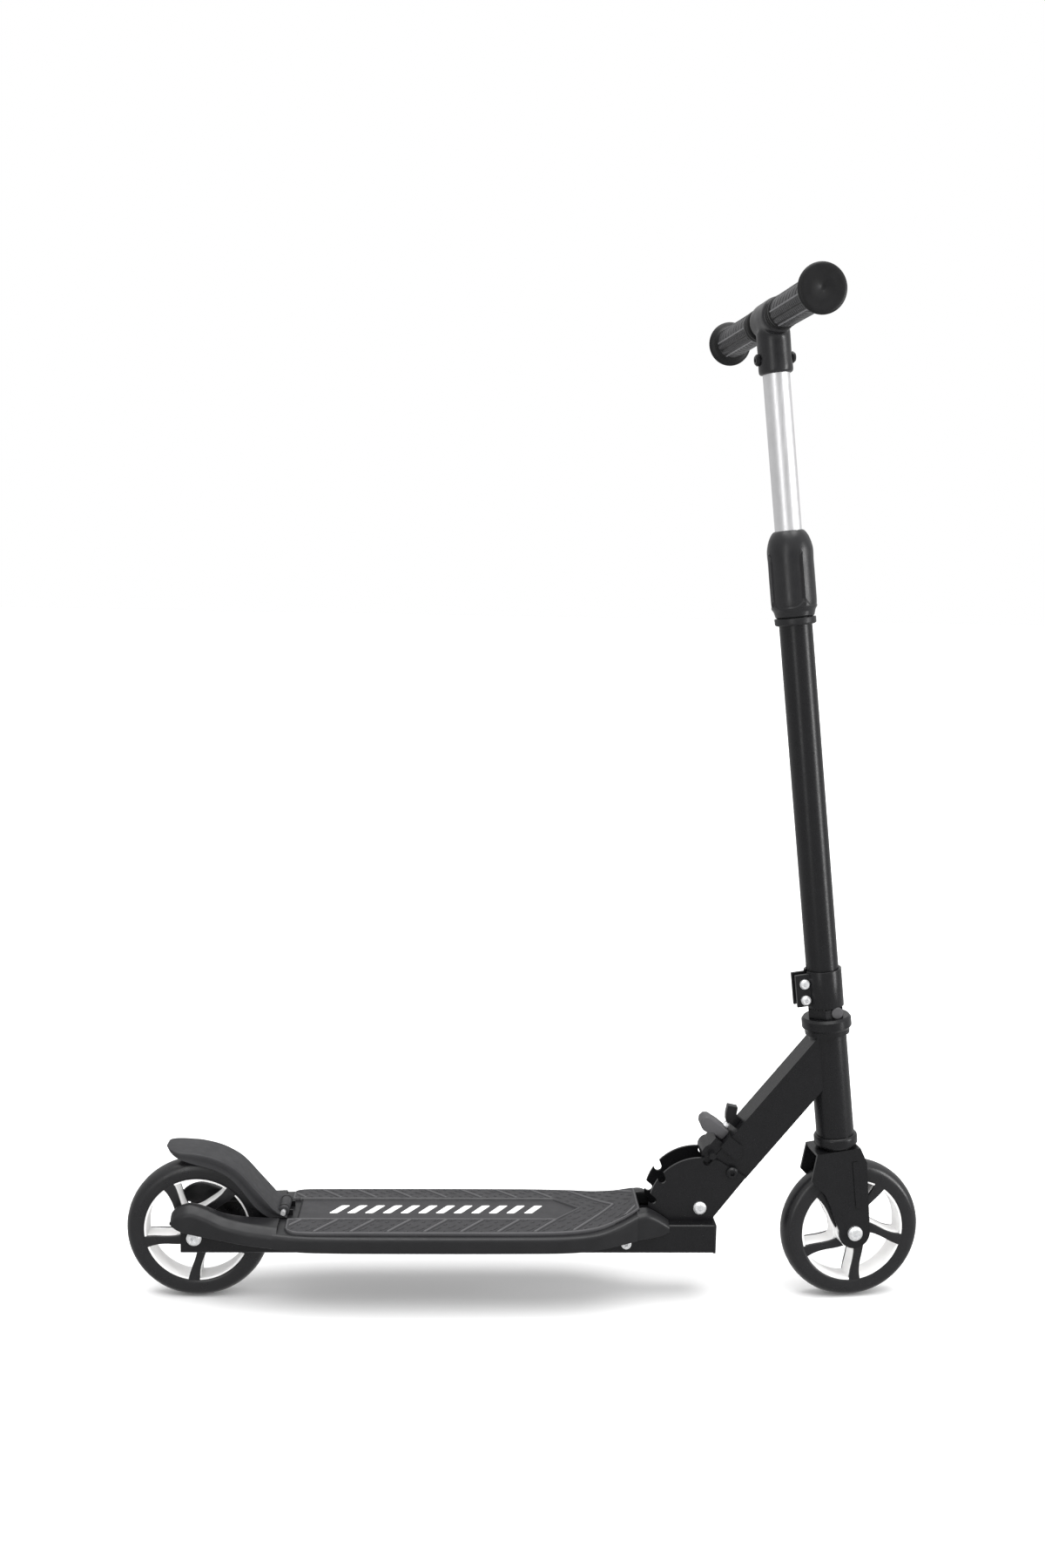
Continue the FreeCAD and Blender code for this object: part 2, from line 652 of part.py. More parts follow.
def make_lock():
    """Slider on the folding tube; its pin drops into the cheek notches."""
    rest = PIN_SEAT_ALONG + LOCK_TRAVEL
    over = TUBE_TOP + 0.35
    carrier = rod_y(10.4, -14.6, 14.6, rest, PIN_ABOVE)
    carrier = carrier.fuse(box(rest, 66, -14.6, 14.6, over, PIN_ABOVE + 8.0))
    carrier = carrier.cut(box(0, 100, -20, 20, 0, over))
    carrier = carrier.cut(rod_y(PIN_R, -20, 20, rest, PIN_ABOVE))
    roof = box(62, 76.5, -17.4, 17.4, over, over + 2.4)
    side_outline = [(61.5, 2.0), (70.0, 2.0), (76.5, 9.0), (76.5, over), (61.5, over)]
    right = plate_xz(side_outline, -17.4, -15.4)
    slider = fuse([carrier, roof, right, mirror_y(right)])
    save(in_tube(largest(slider)), "lock_slider")

    foot = over + 2.4
    outline = [
        (66.4, foot), (78.5, foot), (78.5, 40.0), (77.4, 51.0), (74.6, 54.8), (69.6, 55.4),
        (65.2, 53.0), (62.6, 47.0), (63.4, 41.0), (66.4, 37.0),
    ]
    knob = plate_xz(outline, -9, 9)
    save(in_tube(knob), "lock_knob")
    save(in_tube(rod_y(PIN_R, -21.0, 21.0, rest, PIN_ABOVE)), "lock_pin")
    spring = coil(3.2, 0.6, 79.4, 4, 1.15, X_AXIS).translated(Vec(0, 0, 29.0))
    save(in_tube(spring), "lock_spring")


# ---------------------------------------------------------------- head tube and headset
def make_head():
    head_tube = tube_z(HEAD_TUBE_R, HEAD_TUBE_BORE_R, HEAD_TUBE_FOOT, HEAD_TUBE_HEAD)
    save(on_frame(head_tube), "head_tube")
    upper = revolve_z([
        (HEAD_TUBE_BORE_R - 1.5, HEAD_TUBE_HEAD),
        (22.3, HEAD_TUBE_HEAD),
        (22.6, 214.5),
        (24.9, 217.5),
        (24.9, 225.5),
        (23.0, FLANGE_TOP),
        (HEAD_TUBE_BORE_R - 1.5, FLANGE_TOP),
    ])
    save(on_frame(upper), "upper_headset_cup")
    lower = revolve_z([
        (17.6, 91.0),
        (20.4, 91.0),
        (22.0, 93.5),
        (22.0, 100.5),
        (20.6, HEAD_TUBE_FOOT),
        (HEAD_TUBE_BORE_R - 1.5, HEAD_TUBE_FOOT),
        (HEAD_TUBE_BORE_R - 1.5, 97.0),
        (17.6, 97.0),
    ])
    save(on_frame(lower), "lower_headset_cup")


# ---------------------------------------------------------------- fork and column
def fork_leg(y0, y1):
    """Pressed leg: wide under the crown, round at the axle."""
    end_r = 16.3
    axle_x = FORK_OFFSET
    front = polar(end_r, 4, axle_x, 0)
    bottom = polar(end_r, -90, axle_x, 0)
    rear = polar(end_r, 168, axle_x, 0)
    arc = Part.Arc(Vec(*insert_y(front, y0)), Vec(*insert_y(bottom, y0)), Vec(*insert_y(rear, y0)))
    line = [rear, (-17.2, 33.0), (-21.3, 45.0), (-34.4, 62.5), (-26.0, CROWN_TOP)]
    line += [(19.5, CROWN_TOP), (25.1, 73.0), front]
    points = [Vec(*insert_y(p, y0)) for p in line]
    edges = [arc.toShape()] + [Part.makeLine(a, b) for a, b in zip(points, points[1:])]
    leg = Part.Face(Part.Wire(edges)).extrude(Vec(0, y1 - y0, 0))
    return leg.cut(rod_y(AXLE_R + 0.05, y0 - 1, y1 + 1, axle_x, 0))


def make_fork():
    near = fork_leg(-FORK_LEG_OUTER, -FORK_LEG_INNER)
    crown = box(-26.0, 19.5, -FORK_LEG_OUTER, FORK_LEG_OUTER, CROWN_TOP - 3.0, CROWN_TOP)
    rib = box(9.7, 15.2, -FORK_LEG_OUTER - 0.9, -FORK_LEG_OUTER + 0.5, 26.0, 76.0)
    fork = fuse([crown, near, mirror_y(near), rib, mirror_y(rib)])
    fork = fork.cut(rod_z(STEERER_R - 1.5, 60, 120))
    save(on_column(fork), "fork")
    save(on_column(tube_z(STEERER_R, STEERER_R - 2.2, CROWN_TOP, 274.0)), "steerer_tube")
    race = revolve_z([
        (STEERER_R, CROWN_TOP),
        (17.2, CROWN_TOP),
        (17.2, 94.0),
        (15.8, 96.5),
        (14.9, 96.5),
        (STEERER_R, 96.5),
    ])
    save(on_column(race), "crown_race")


def make_locknut():
    corners = [polar(19.6, 60.0 * i + 12.0) for i in range(6)]
    face = Part.Face(polygon([Vec(x, y, FLANGE_TOP + 0.4) for x, y in corners]))
    nut = face.extrude(Vec(0, 0, 9.2)).cut(rod_z(STEERER_R, 200, 260))
    chamfer = revolve_z([(0, 220), (16.9, 220), (21.0, FLANGE_TOP + 2.6), (21.0, 234.6), (16.9, 250), (0, 250)])
    save(on_column(nut.common(chamfer)), "headset_locknut")


CLAMP_BOLT_X = -22.6
CLAMP_BOLT_S = (248.8, 265.4)
EAR_INNER = 4.6
EAR_OUTER = 8.2


def make_column():
    column = tube_z(LOWER_TUBE_R, LOWER_TUBE_BORE_R, CLAMP_FOOT + 0.3, 700.0)
    slit = box(-30, 0, -1.5, 1.5, CLAMP_FOOT - 2, CLAMP_HEAD + 6)
    save(on_column(column.cut(slit)), "lower_tube")

    collar = tube_z(LOWER_TUBE_R + 2.6, LOWER_TUBE_R, CLAMP_FOOT, CLAMP_HEAD)
    collar = collar.cut(box(-40, 0, -EAR_INNER, EAR_INNER, CLAMP_FOOT - 1, CLAMP_HEAD + 1))
    ear = box(-31.0, -14.0, -EAR_OUTER, -EAR_INNER, CLAMP_FOOT + 3.5, CLAMP_HEAD - 2.0)
    ear = ear.cut(rod_z(LOWER_TUBE_R, 200, 300))
    collar = fuse([collar, ear, mirror_y(ear)])
    for s in CLAMP_BOLT_S:
        collar = collar.cut(rod_y(2.55, -20, 20, CLAMP_BOLT_X, s))
    save(on_column(largest(collar)), "clamp_collar")
    bolts = []
    nuts = []
    for s in CLAMP_BOLT_S:
        bolt = cap_bolt(5.0, 4.4, 2.5, 2 * EAR_OUTER + 5)
        bolts.append(bolt.translated(Vec(CLAMP_BOLT_X, -EAR_OUTER, s)))
        nuts.append(hex_nut(4.6, 2.5, 4.0).translated(Vec(CLAMP_BOLT_X, EAR_OUTER, s)))
    save(on_column(Part.makeCompound(bolts)), "clamp_bolts")
    save(on_column(Part.makeCompound(nuts)), "clamp_nuts")

    ring = revolve_z([
        (LOWER_TUBE_R, RING_FOOT),
        (18.6, RING_FOOT),
        (20.2, RING_FOOT + 1.4),
        (20.2, SLEEVE_FOOT - 0.4),
        (LOWER_TUBE_R, SLEEVE_FOOT - 0.4),
    ])
    save(on_column(ring), "column_ring")
    bush = tube_z(LOWER_TUBE_BORE_R, UPPER_TUBE_R + 0.06, 655.0, 700.0)
    save(on_column(bush), "guide_bush")


def make_twist_sleeve():
    bore = LOWER_TUBE_R + 0.35
    neck = UPPER_TUBE_R + 0.35
    profile = [
        (bore, SLEEVE_FOOT),
        (19.6, SLEEVE_FOOT),
        (19.6, 636.5),
        (22.0, 639.0),
        (23.0, 646.0),
        (23.2, 690.0),
        (22.4, 699.0),
        (20.6, 707.0),
        (17.8, 712.8),
        (15.4, SLEEVE_HEAD),
        (neck, SLEEVE_HEAD),
        (neck, 700.6),
        (bore, 700.6),
    ]
    sleeve = revolve_z(profile)
    fins = []
    for i in range(6):
        fin = box(22.0, 24.4, -1.0, 1.0, 645.0, 697.0)
        fin.rotate(Vec(0, 0, 0), Z_AXIS, 60.0 * i)
        fins.append(fin)
    save(on_column(fuse([sleeve] + fins)), "twist_sleeve")


# ---------------------------------------------------------------- handlebar
def make_bar():
    upper = tube_z(UPPER_TUBE_R, UPPER_TUBE_R - 1.5, 470.0, 899.0)
    upper = upper.cut(rod_x(2.55, -30, 30, 0, 879.0))
    save(on_column(upper), "upper_tube")

    stem = revolve_z([
        (0, TEE_FOOT),
        (16.6, TEE_FOOT),
        (16.8, 870.0),
        (15.9, 876.0),
        (15.9, BAR_HEIGHT),
        (0, BAR_HEIGHT),
    ])
    sleeve = rod_y(17.2, -25.0, 25.0, 0, BAR_HEIGHT)
    tee = stem.fuse(sleeve).removeSplitter()
    tee = tee.cut(rod_z(UPPER_TUBE_R, TEE_FOOT - 1, 899.5))
    tee = tee.cut(rod_y(BAR_R, -40, 40, 0, BAR_HEIGHT))
    tee = tee.cut(rod_x(2.55, -30, 30, 0, 879.0))
    save(on_column(tee), "handlebar_tee")

    bar = tube_y(BAR_R, BAR_R - 1.5, -BAR_HALF, BAR_HALF, 0, BAR_HEIGHT)
    save(on_column(bar), "crossbar")

    bolt = cap_bolt(5.6, 3.6, 2.5, 36.0)
    bolt.rotate(Vec(0, 0, 0), Z_AXIS, -90)
    bolt = bolt.translated(Vec(-16.2, 0, 879.0))
    save(on_column(bolt), "tee_bolt")
    save(on_column(tee_nut()), "tee_nut")


def tee_nut():
    nut = revolve_y([(2.5, 0.0), (5.6, 0.0), (5.6, 1.6), (4.0, 3.6), (2.5, 3.6)])
    nut.rotate(Vec(0, 0, 0), Z_AXIS, -90)
    return nut.translated(Vec(16.2, 0, 879.0))


def make_grip(name, inner_end, outer_end):
    """Moulded grip with a small collar at its inner end and a wide guard at its outer end."""
    side = 1.0 if outer_end > 0 else -1.0
    length = abs(outer_end - inner_end)
    profile = [
        (BAR_R, 0.0),
        (15.6, 0.0),
        (16.6, 1.2),
        (16.6, 5.0),
        (15.2, 6.5),
        (15.2, length - 12.0),
        (17.0, length - 8.0),
        (20.9, length - 6.2),
        (22.3, length - 4.0),
        (22.3, length - 2.4),
        (21.0, length),
        (0.0, length),
        (0.0, length - 5.0),
        (BAR_R, length - 5.0),
    ]
    grip = revolve_y([(r, side * y) for r, y in profile])
    save(on_column(grip.translated(Vec(0, inner_end, BAR_HEIGHT))), name)


# ---------------------------------------------------------------- brake
FENDER_HALF = 21.0
FENDER_WALL = 16.0
SHOE_GAP = 5.6
SHOE_THICKNESS = 3.0
SHOE_FRONT = -318.5
TYRE_CLEARANCE = 0.7
PRESS_DEG = 3.0


def make_brake():
    """Foot brake: a stiff fender on a sprung pin, with a shoe above the rear tyre."""
    top = [
        (-364.0, 159.5), (-353.0, 158.0), (-333.0, 156.6), (-315.5, 152.3), (-300.5, 145.4),
        (-289.5, 137.4), (-275.0, 121.0), (-257.0, 100.2), (-243.0, 90.0),
    ]
    low = [
        (-243.0, 89.0), (-268.0, 89.0), (-276.0, 100.0), (-288.0, 117.0), (-300.0, 130.0),
        (-304.0, 136.5), (-324.0, 141.0), (-346.0, 148.5), (-358.0, 153.0),
    ]
    crest = Part.BSplineCurve()
    crest.interpolate([Vec(x, -FENDER_HALF, z) for x, z in top])
    corners = [Vec(x, -FENDER_HALF, z) for x, z in [top[-1]] + low + [top[0]]]
    edges = [crest.toShape()] + [Part.makeLine(a, b) for a, b in zip(corners, corners[1:])]
    body = Part.Face(Part.Wire(edges)).extrude(Vec(0, 2 * FENDER_HALF, 0))
    wheel_x = -WHEELBASE / 2
    shoe_r = WHEEL_R + SHOE_GAP + SHOE_THICKNESS
    shoe_room = box(-400, SHOE_FRONT, -FENDER_WALL, FENDER_WALL, WHEEL_R, 200)
    pocket = rod_y(shoe_r, -FENDER_WALL, FENDER_WALL, wheel_x, WHEEL_R).common(shoe_room)
    press = math.radians(PRESS_DEG)
    dx, dz = wheel_x - BRAKE_PIN_X, WHEEL_R - BRAKE_PIN_Z
    pressed_x = BRAKE_PIN_X + dx * math.cos(press) + dz * math.sin(press)
    pressed_z = BRAKE_PIN_Z - dx * math.sin(press) + dz * math.cos(press)
    tyre_room = fuse([
        rod_y(WHEEL_R + TYRE_CLEARANCE, -FENDER_WALL, FENDER_WALL, x, z)
        for x, z in ((wheel_x, WHEEL_R), (pressed_x, pressed_z))
    ])
    front_room = plate_xz(
        [(-262.0, 88.0), (-259.5, 97.5), (-277.0, 117.5), (-289.0, 131.0), (-285.0, 100.0)],
        -FENDER_WALL, FENDER_WALL,
    )
    body = body.cut(fuse([pocket, tyre_room, front_room]))
    barrel = rod_y(5.5, -FENDER_WALL, FENDER_WALL, BRAKE_PIN_X, BRAKE_PIN_Z)
    body = body.fuse(barrel).removeSplitter()
    for side in (-1, 1):
        y0, y1 = sorted((side * 9.4, side * 15.8))
        body = body.cut(box(-258, -230, y0, y1, 80, BRAKE_PIN_Z + 6.5))
    body = body.cut(rod_y(BRAKE_PIN_R + 0.06, -40, 40, BRAKE_PIN_X, BRAKE_PIN_Z))
    save(largest(body), "fender")

    shoe = tube_y(shoe_r, WHEEL_R + SHOE_GAP, -11, 11, wheel_x, WHEEL_R)
    sector = plate_xz([(wheel_x, WHEEL_R), (wheel_x - 26, 200), (wheel_x + 24.5, 200)], -20, 20)
    save(shoe.common(sector), "brake_shoe")

    ears = []
    for side in (-1, 1):
        y0, y1 = sorted((side * 10.0, side * 12.0))
        ear = box(-256, -238, y0, y1, RAIL_TOP, BRAKE_PIN_Z)
        ear = ear.fuse(rod_y(5.0, y0, y1, BRAKE_PIN_X, BRAKE_PIN_Z))
        ears.append(ear)
    base = box(-256, -236, -12, 12, RAIL_TOP, RAIL_TOP + 1.8)
    bracket = fuse([base] + ears)
    bracket = bracket.cut(rod_y(BRAKE_PIN_R, -40, 40, BRAKE_PIN_X, BRAKE_PIN_Z))
    save(bracket, "brake_bracket")
    save(rod_y(BRAKE_PIN_R, -21.0, 21.0, BRAKE_PIN_X, BRAKE_PIN_Z), "brake_pin")
    springs = []
    for start in (-15.0, 12.9):
        spring = coil(3.3, 0.55, start, 3, 1.05, Y_AXIS)
        springs.append(spring.translated(Vec(BRAKE_PIN_X, 0, BRAKE_PIN_Z)))
    save(Part.makeCompound(springs), "brake_springs")


# ---------------------------------------------------------------- build everything
make_chassis()
make_deck_cover()
make_deck_mat()
make_hinge()
make_down_tube()
make_lock()
make_head()
make_fork()
make_locknut()
make_column()
make_twist_sleeve()
make_bar()
make_grip("right_grip", *RIGHT_GRIP)
make_grip("left_grip", *LEFT_GRIP)
make_brake()
make_wheel("rear", 50.0, at_rear_wheel)
make_axle("rear", RAIL_HALF_WIDTH, at_rear_wheel)


def at_front_wheel(shape):
    return on_column(shape.translated(Vec(FORK_OFFSET, 0, 0)))


make_wheel("front", 59.0 - LEAN_DEG, at_front_wheel)
make_axle("front", FORK_LEG_OUTER, at_front_wheel)
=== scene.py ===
import bmesh
import bpy
import json
import math
from mathutils import Matrix, Vector

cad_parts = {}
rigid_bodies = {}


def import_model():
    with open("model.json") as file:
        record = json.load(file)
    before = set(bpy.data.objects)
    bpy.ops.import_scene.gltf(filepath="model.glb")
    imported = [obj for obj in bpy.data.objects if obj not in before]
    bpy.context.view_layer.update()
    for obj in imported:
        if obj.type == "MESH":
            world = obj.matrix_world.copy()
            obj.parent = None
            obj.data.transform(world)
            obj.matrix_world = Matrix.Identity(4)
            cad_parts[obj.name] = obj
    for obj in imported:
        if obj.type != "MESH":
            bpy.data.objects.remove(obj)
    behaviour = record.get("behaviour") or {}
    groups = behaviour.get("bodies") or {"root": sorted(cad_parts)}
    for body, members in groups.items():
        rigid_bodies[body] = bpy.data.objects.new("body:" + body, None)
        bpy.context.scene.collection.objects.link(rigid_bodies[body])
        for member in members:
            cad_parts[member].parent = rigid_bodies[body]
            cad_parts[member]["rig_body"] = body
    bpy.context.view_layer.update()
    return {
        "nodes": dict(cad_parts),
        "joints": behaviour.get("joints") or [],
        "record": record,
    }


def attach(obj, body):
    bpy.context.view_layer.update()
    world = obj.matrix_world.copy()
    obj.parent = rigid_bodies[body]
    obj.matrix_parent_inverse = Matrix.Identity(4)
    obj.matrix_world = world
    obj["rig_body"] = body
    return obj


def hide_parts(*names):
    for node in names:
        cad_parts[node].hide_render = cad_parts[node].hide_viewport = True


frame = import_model()

MM = 0.001
NODES = frame["nodes"]
JOINTS = {joint["name"]: joint for joint in frame["joints"]}
X_AXIS = Vector((1, 0, 0))
Y_AXIS = Vector((0, 1, 0))
Z_AXIS = Vector((0, 0, 1))


# ------------------------------------------------------------------ local frames, in millimetres
def local_frame(origin, x, y, z):
    """Matrix from millimetres along x, y, z at an origin to the row frame in metres."""
    turn = Matrix((x, y, z)).transposed().to_4x4()
    return Matrix.Translation(origin) @ turn @ Matrix.Scale(MM, 4)


ROW = Matrix.Scale(MM, 4)
STEER_AXIS = Vector(JOINTS["steer"]["axis"]).normalized()
STEER_FOOT = Vector(JOINTS["steer"]["pos_m"])
BAR_AXIS = Vector(JOINTS["front_roll"]["axis"]).normalized()
COLUMN = local_frame(STEER_FOOT, BAR_AXIS.cross(STEER_AXIS), BAR_AXIS, STEER_AXIS)
REAR_HUB = local_frame(Vector(JOINTS["rear_roll"]["pos_m"]), X_AXIS, Y_AXIS, Z_AXIS)
FRONT_HUB = local_frame(
    Vector(JOINTS["front_roll"]["pos_m"]), BAR_AXIS.cross(STEER_AXIS), BAR_AXIS, STEER_AXIS
)


# ------------------------------------------------------------------ materials
class Look:
    """A Principled material whose colour, roughness and bump vary by procedural noise."""

    def __init__(self, name, color, roughness, metallic=0.0, specular=0.3):
        self.material = bpy.data.materials.new(name)
        self.material.use_nodes = True
        self.tree = self.material.node_tree
        self.shader = self.tree.nodes["Principled BSDF"]
        self.shader.inputs["Metallic"].default_value = metallic
        self.shader.inputs["Specular IOR Level"].default_value = specular
        self.color = color
        self.roughness = roughness
        self.place = self.node("ShaderNodeTexCoord").outputs["Object"]
        self.height = None
        self.base = None

    def node(self, kind, **settings):
        made = self.tree.nodes.new(kind)
        for key, value in settings.items():
            setattr(made, key, value)
        return made

    def link(self, source, target):
        self.tree.links.new(source, target)

    def noise(self, scale, detail=3.0, stretch=None):
        texture = self.node("ShaderNodeTexNoise")
        texture.inputs["Scale"].default_value = scale
        texture.inputs["Detail"].default_value = detail
        place = self.place
        if stretch:
            mapping = self.node("ShaderNodeMapping")
            mapping.inputs["Scale"].default_value = stretch
            self.link(place, mapping.inputs["Vector"])
            place = mapping.outputs["Vector"]
        self.link(place, texture.inputs["Vector"])
        return texture.outputs["Fac"]

    def spread(self, source, low, high):
        span = self.node("ShaderNodeMapRange")
        span.inputs["From Min"].default_value = 0.3
        span.inputs["From Max"].default_value = 0.7
        span.inputs["To Min"].default_value = low
        span.inputs["To Max"].default_value = high
        self.link(source, span.inputs["Value"])
        return span.outputs["Result"]

    def vary_color(self, source, amount):
        """Colour runs from a darker to a lighter shade of itself."""
        dark = [c * (1 - amount) for c in self.color]
        light = [min(1.0, c * (1 + amount)) for c in self.color]
        ramp = self.node("ShaderNodeValToRGB")
        ramp.color_ramp.elements[0].position = 0.3
        ramp.color_ramp.elements[1].position = 0.7
        ramp.color_ramp.elements[0].color = (*dark, 1)
        ramp.color_ramp.elements[1].color = (*light, 1)
        self.link(source, ramp.inputs["Fac"])
        self.base = ramp.outputs["Color"]
        self.link(self.base, self.shader.inputs["Base Color"])
        return self

    def tint_by(self, attribute, color):
        """Mixes in a colour where a vertex attribute is high, such as painted highlight on raised
        ribs or painted shade beside them.
        """
        mark = self.node("ShaderNodeAttribute", attribute_name=attribute)
        mix = self.node("ShaderNodeMix", data_type="RGBA")
        self.link(mark.outputs["Fac"], mix.inputs[0])
        self.link(self.base, mix.inputs[6])
        mix.inputs[7].default_value = (*color, 1)
        self.base = mix.outputs[2]
        self.link(self.base, self.shader.inputs["Base Color"])
        return self

    def vary_roughness(self, source, amount):
        low = max(0.02, self.roughness - amount)
        high = min(1.0, self.roughness + amount)
        self.link(self.spread(source, low, high), self.shader.inputs["Roughness"])
        return self

    def bump(self, source, strength, distance):
        """Adds one layer of relief under those already there; distance is in metres."""
        layer = self.node("ShaderNodeBump")
        layer.inputs["Strength"].default_value = strength
        layer.inputs["Distance"].default_value = distance
        self.link(source, layer.inputs["Height"])
        if self.height:
            self.link(self.height, layer.inputs["Normal"])
        self.height = layer.outputs["Normal"]
        self.link(self.height, self.shader.inputs["Normal"])
        return self


def moulded(name, color, roughness, grain=900.0, relief=0.25, specular=0.3):
    """Injection-moulded plastic or rubber: spark-eroded grain over slow patches of tone."""
    look = Look(name, color, roughness, specular=specular)
    look.vary_color(look.noise(45.0), 0.10)
    look.vary_roughness(look.noise(120.0), 0.06)
    look.bump(look.noise(grain, 2.0), relief, 0.00012)
    return look


def build_looks():
    powder = Look("powder_coat", (0.0070, 0.0070, 0.0078), 0.30, specular=0.30)
    powder.vary_color(powder.noise(60.0), 0.08)
    powder.vary_roughness(powder.noise(300.0), 0.04)
    powder.bump(powder.noise(1400.0, 2.0), 0.08, 0.00005)

    zinc = Look("zinc_plate", (0.90, 0.91, 0.93), 0.36, metallic=0.75)
    zinc.vary_color(zinc.noise(700.0), 0.18)
    zinc.vary_roughness(zinc.noise(900.0), 0.10)
    zinc.bump(zinc.noise(1800.0), 0.15, 0.00005)

    silver = Look("satin_aluminium", (0.82, 0.82, 0.83), 0.43, metallic=1.0)
    lines = silver.noise(1500.0, 2.0, stretch=(1.0, 1.0, 0.012))
    silver.vary_color(silver.noise(90.0), 0.03)
    silver.vary_roughness(lines, 0.06)
    silver.bump(lines, 0.10, 0.00003)

    white = Look("white_nylon", (0.83, 0.825, 0.82), 0.34)
    white.vary_color(white.noise(70.0), 0.03)
    white.vary_roughness(white.noise(250.0), 0.06)
    white.bump(white.noise(700.0), 0.10, 0.00005)

    urethane = Look("black_urethane", (0.0105, 0.0105, 0.0115), 0.30, specular=0.42)
    urethane.vary_color(urethane.noise(37.0), 0.08)
    urethane.vary_roughness(urethane.noise(113.0), 0.05)
    urethane.bump(urethane.noise(900.0), 0.06, 0.00005)

    graphic = Look("white_print", (0.80, 0.80, 0.79), 0.45)
    graphic.vary_color(graphic.noise(200.0), 0.04)
    graphic.vary_roughness(graphic.noise(400.0), 0.05)
    graphic.bump(graphic.noise(900.0), 0.10, 0.00005)

    mat = moulded("mat_plastic", (0.031, 0.0305, 0.0328), 0.55, 700.0, 0.3)
    # Painted highlight on the mat's ribs, studs, border and rim, and painted shade beside the ribs,
    # around the studs and along the panel's walls.
    mat.tint_by("raised", (0.098, 0.097, 0.101))
    mat.tint_by("sunk", (0.007, 0.007, 0.008))
    rubber = moulded("grip_rubber", (0.0045, 0.0045, 0.005), 0.44, 1100.0, 0.2)
    # Painted highlight on the grip's ribs, dots and body, with the grooves and plain ends left
    # darker as painted shade.
    rubber.tint_by("raised", (0.11, 0.11, 0.115))
    satin = moulded("sleeve_plastic", (0.0100, 0.0100, 0.0112), 0.34, 1300.0, 0.1, 0.42)

    return {
        "black_paint": powder,
        "zinc_steel": zinc,
        "satin_aluminium": silver,
        "black_plastic": moulded("cover_plastic", (0.0115, 0.0115, 0.0125), 0.38),
        "grip_mat": mat,
        "grey_plastic": moulded("knob_plastic", (0.066, 0.065, 0.068), 0.46),
        "grip_rubber": rubber,
        "satin": satin,
        "wheel_black": urethane,
        "wheel_white": white,
        "print": graphic,
        "fender": moulded("fender_plastic", (0.026, 0.026, 0.028), 0.52, 800.0, 0.3),
    }


LOOKS = build_looks()


# ------------------------------------------------------------------ making pieces
def finish_mesh(obj, sharp_deg):
    """Faces turned outwards and smooth, with edges kept sharp above an angle."""
    mesh = obj.data
    bm = bmesh.new()
    bm.from_mesh(mesh)
    bmesh.ops.recalc_face_normals(bm, faces=bm.faces)
    bm.to_mesh(mesh)
    bm.free()
    mesh.polygons.foreach_set("use_smooth", [True] * len(mesh.polygons))
    mesh.set_sharp_from_angle(angle=math.radians(sharp_deg))
    mesh.update()


def new_piece(name, mesh, body, slot, nodes=(), look=None, sharp_deg=40):
    """Wraps a mesh, already in the row frame, as a piece that rides on a body."""
    obj = bpy.data.objects.new(name, mesh)
    bpy.context.scene.collection.objects.link(obj)
    mesh.materials.clear()
    mesh.materials.append((look or LOOKS[slot]).material)
    finish_mesh(obj, sharp_deg)
    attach(obj, body)
    if nodes:
        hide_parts(*nodes)


def mesh_from(name, verts, faces, where, **marks):
    """Mesh from points in a local frame; each mark is one number for every point."""
    mesh = bpy.data.meshes.new(name)
    mesh.from_pydata([where @ Vector(v) for v in verts], [], faces)
    for mark, values in marks.items():
        mesh.attributes.new(mark, "FLOAT", "POINT").data.foreach_set("value", values)
    return mesh


def body_of_node(node):
    return NODES[node]["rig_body"]


def slot_of_node(node):
    """Material slot that the record gives a CAD node."""
    for part in frame["record"]["subparts"]:
        if part["node"] == node:
            return part["material_slot"]
    return None


def rounded_node(node, width, segments=2, corner_deg=28):
    """A CAD node with its corners broken: a copy with flat faces merged and edges bevelled."""
    bm = bmesh.new()
    bm.from_mesh(NODES[node].data)
    bmesh.ops.remove_doubles(bm, verts=bm.verts, dist=2e-6)
    bmesh.ops.dissolve_limit(
        bm, angle_limit=math.radians(0.6), verts=bm.verts, edges=bm.edges
    )
    corner = math.radians(corner_deg)
    edges = [e for e in bm.edges if len(e.link_faces) == 2 and e.calc_face_angle() > corner]
    bmesh.ops.bevel(
        bm, geom=edges, offset=width * MM, segments=segments, profile=0.6,
        affect="EDGES", clamp_overlap=False,
    )
    mesh = bpy.data.meshes.new(node + "_rounded")
    bm.to_mesh(mesh)
    bm.free()
    new_piece(node + "_rounded", mesh, body_of_node(node), slot_of_node(node), [node])


# ------------------------------------------------------------------ CAD nodes that keep their shape
def dress_nodes():
    for node, obj in NODES.items():
        look = LOOKS[slot_of_node(node)]
        obj.data.materials.clear()
        obj.data.materials.append(look.material)


dress_nodes()


# ------------------------------------------------------------------ shapes made of rows of points
def smooth_step(t):
    t = min(1.0, max(0.0, t))
    return t * t * (3 - 2 * t)


def along(stations, x, column):
    """Smooth value of one column of a table of stations, at x."""
    last = len(stations) - 1
    if x <= stations[0][0]:
        return stations[0][column]
    if x >= stations[last][0]:
        return stations[last][column]
    i = max(k for k in range(last) if stations[k][0] <= x)
    x0, x1 = stations[i][0], stations[i + 1][0]
    v0, v1 = stations[i][column], stations[i + 1][column]
    before = stations[max(i - 1, 0)]
    after = stations[min(i + 2, last)]
    slope0 = (v1 - before[column]) / (x1 - before[0])
    slope1 = (after[column] - v0) / (after[0] - x0)
    h = x1 - x0
    t = (x - x0) / h
    return (
        v0 * (1 + 2 * t) * (1 - t) ** 2 + slope0 * h * t * (1 - t) ** 2
        + v1 * t * t * (3 - 2 * t) + slope1 * h * t * t * (t - 1)
    )


def spaced(first, last, count):
    return [first + (last - first) * i / (count - 1) for i in range(count)]


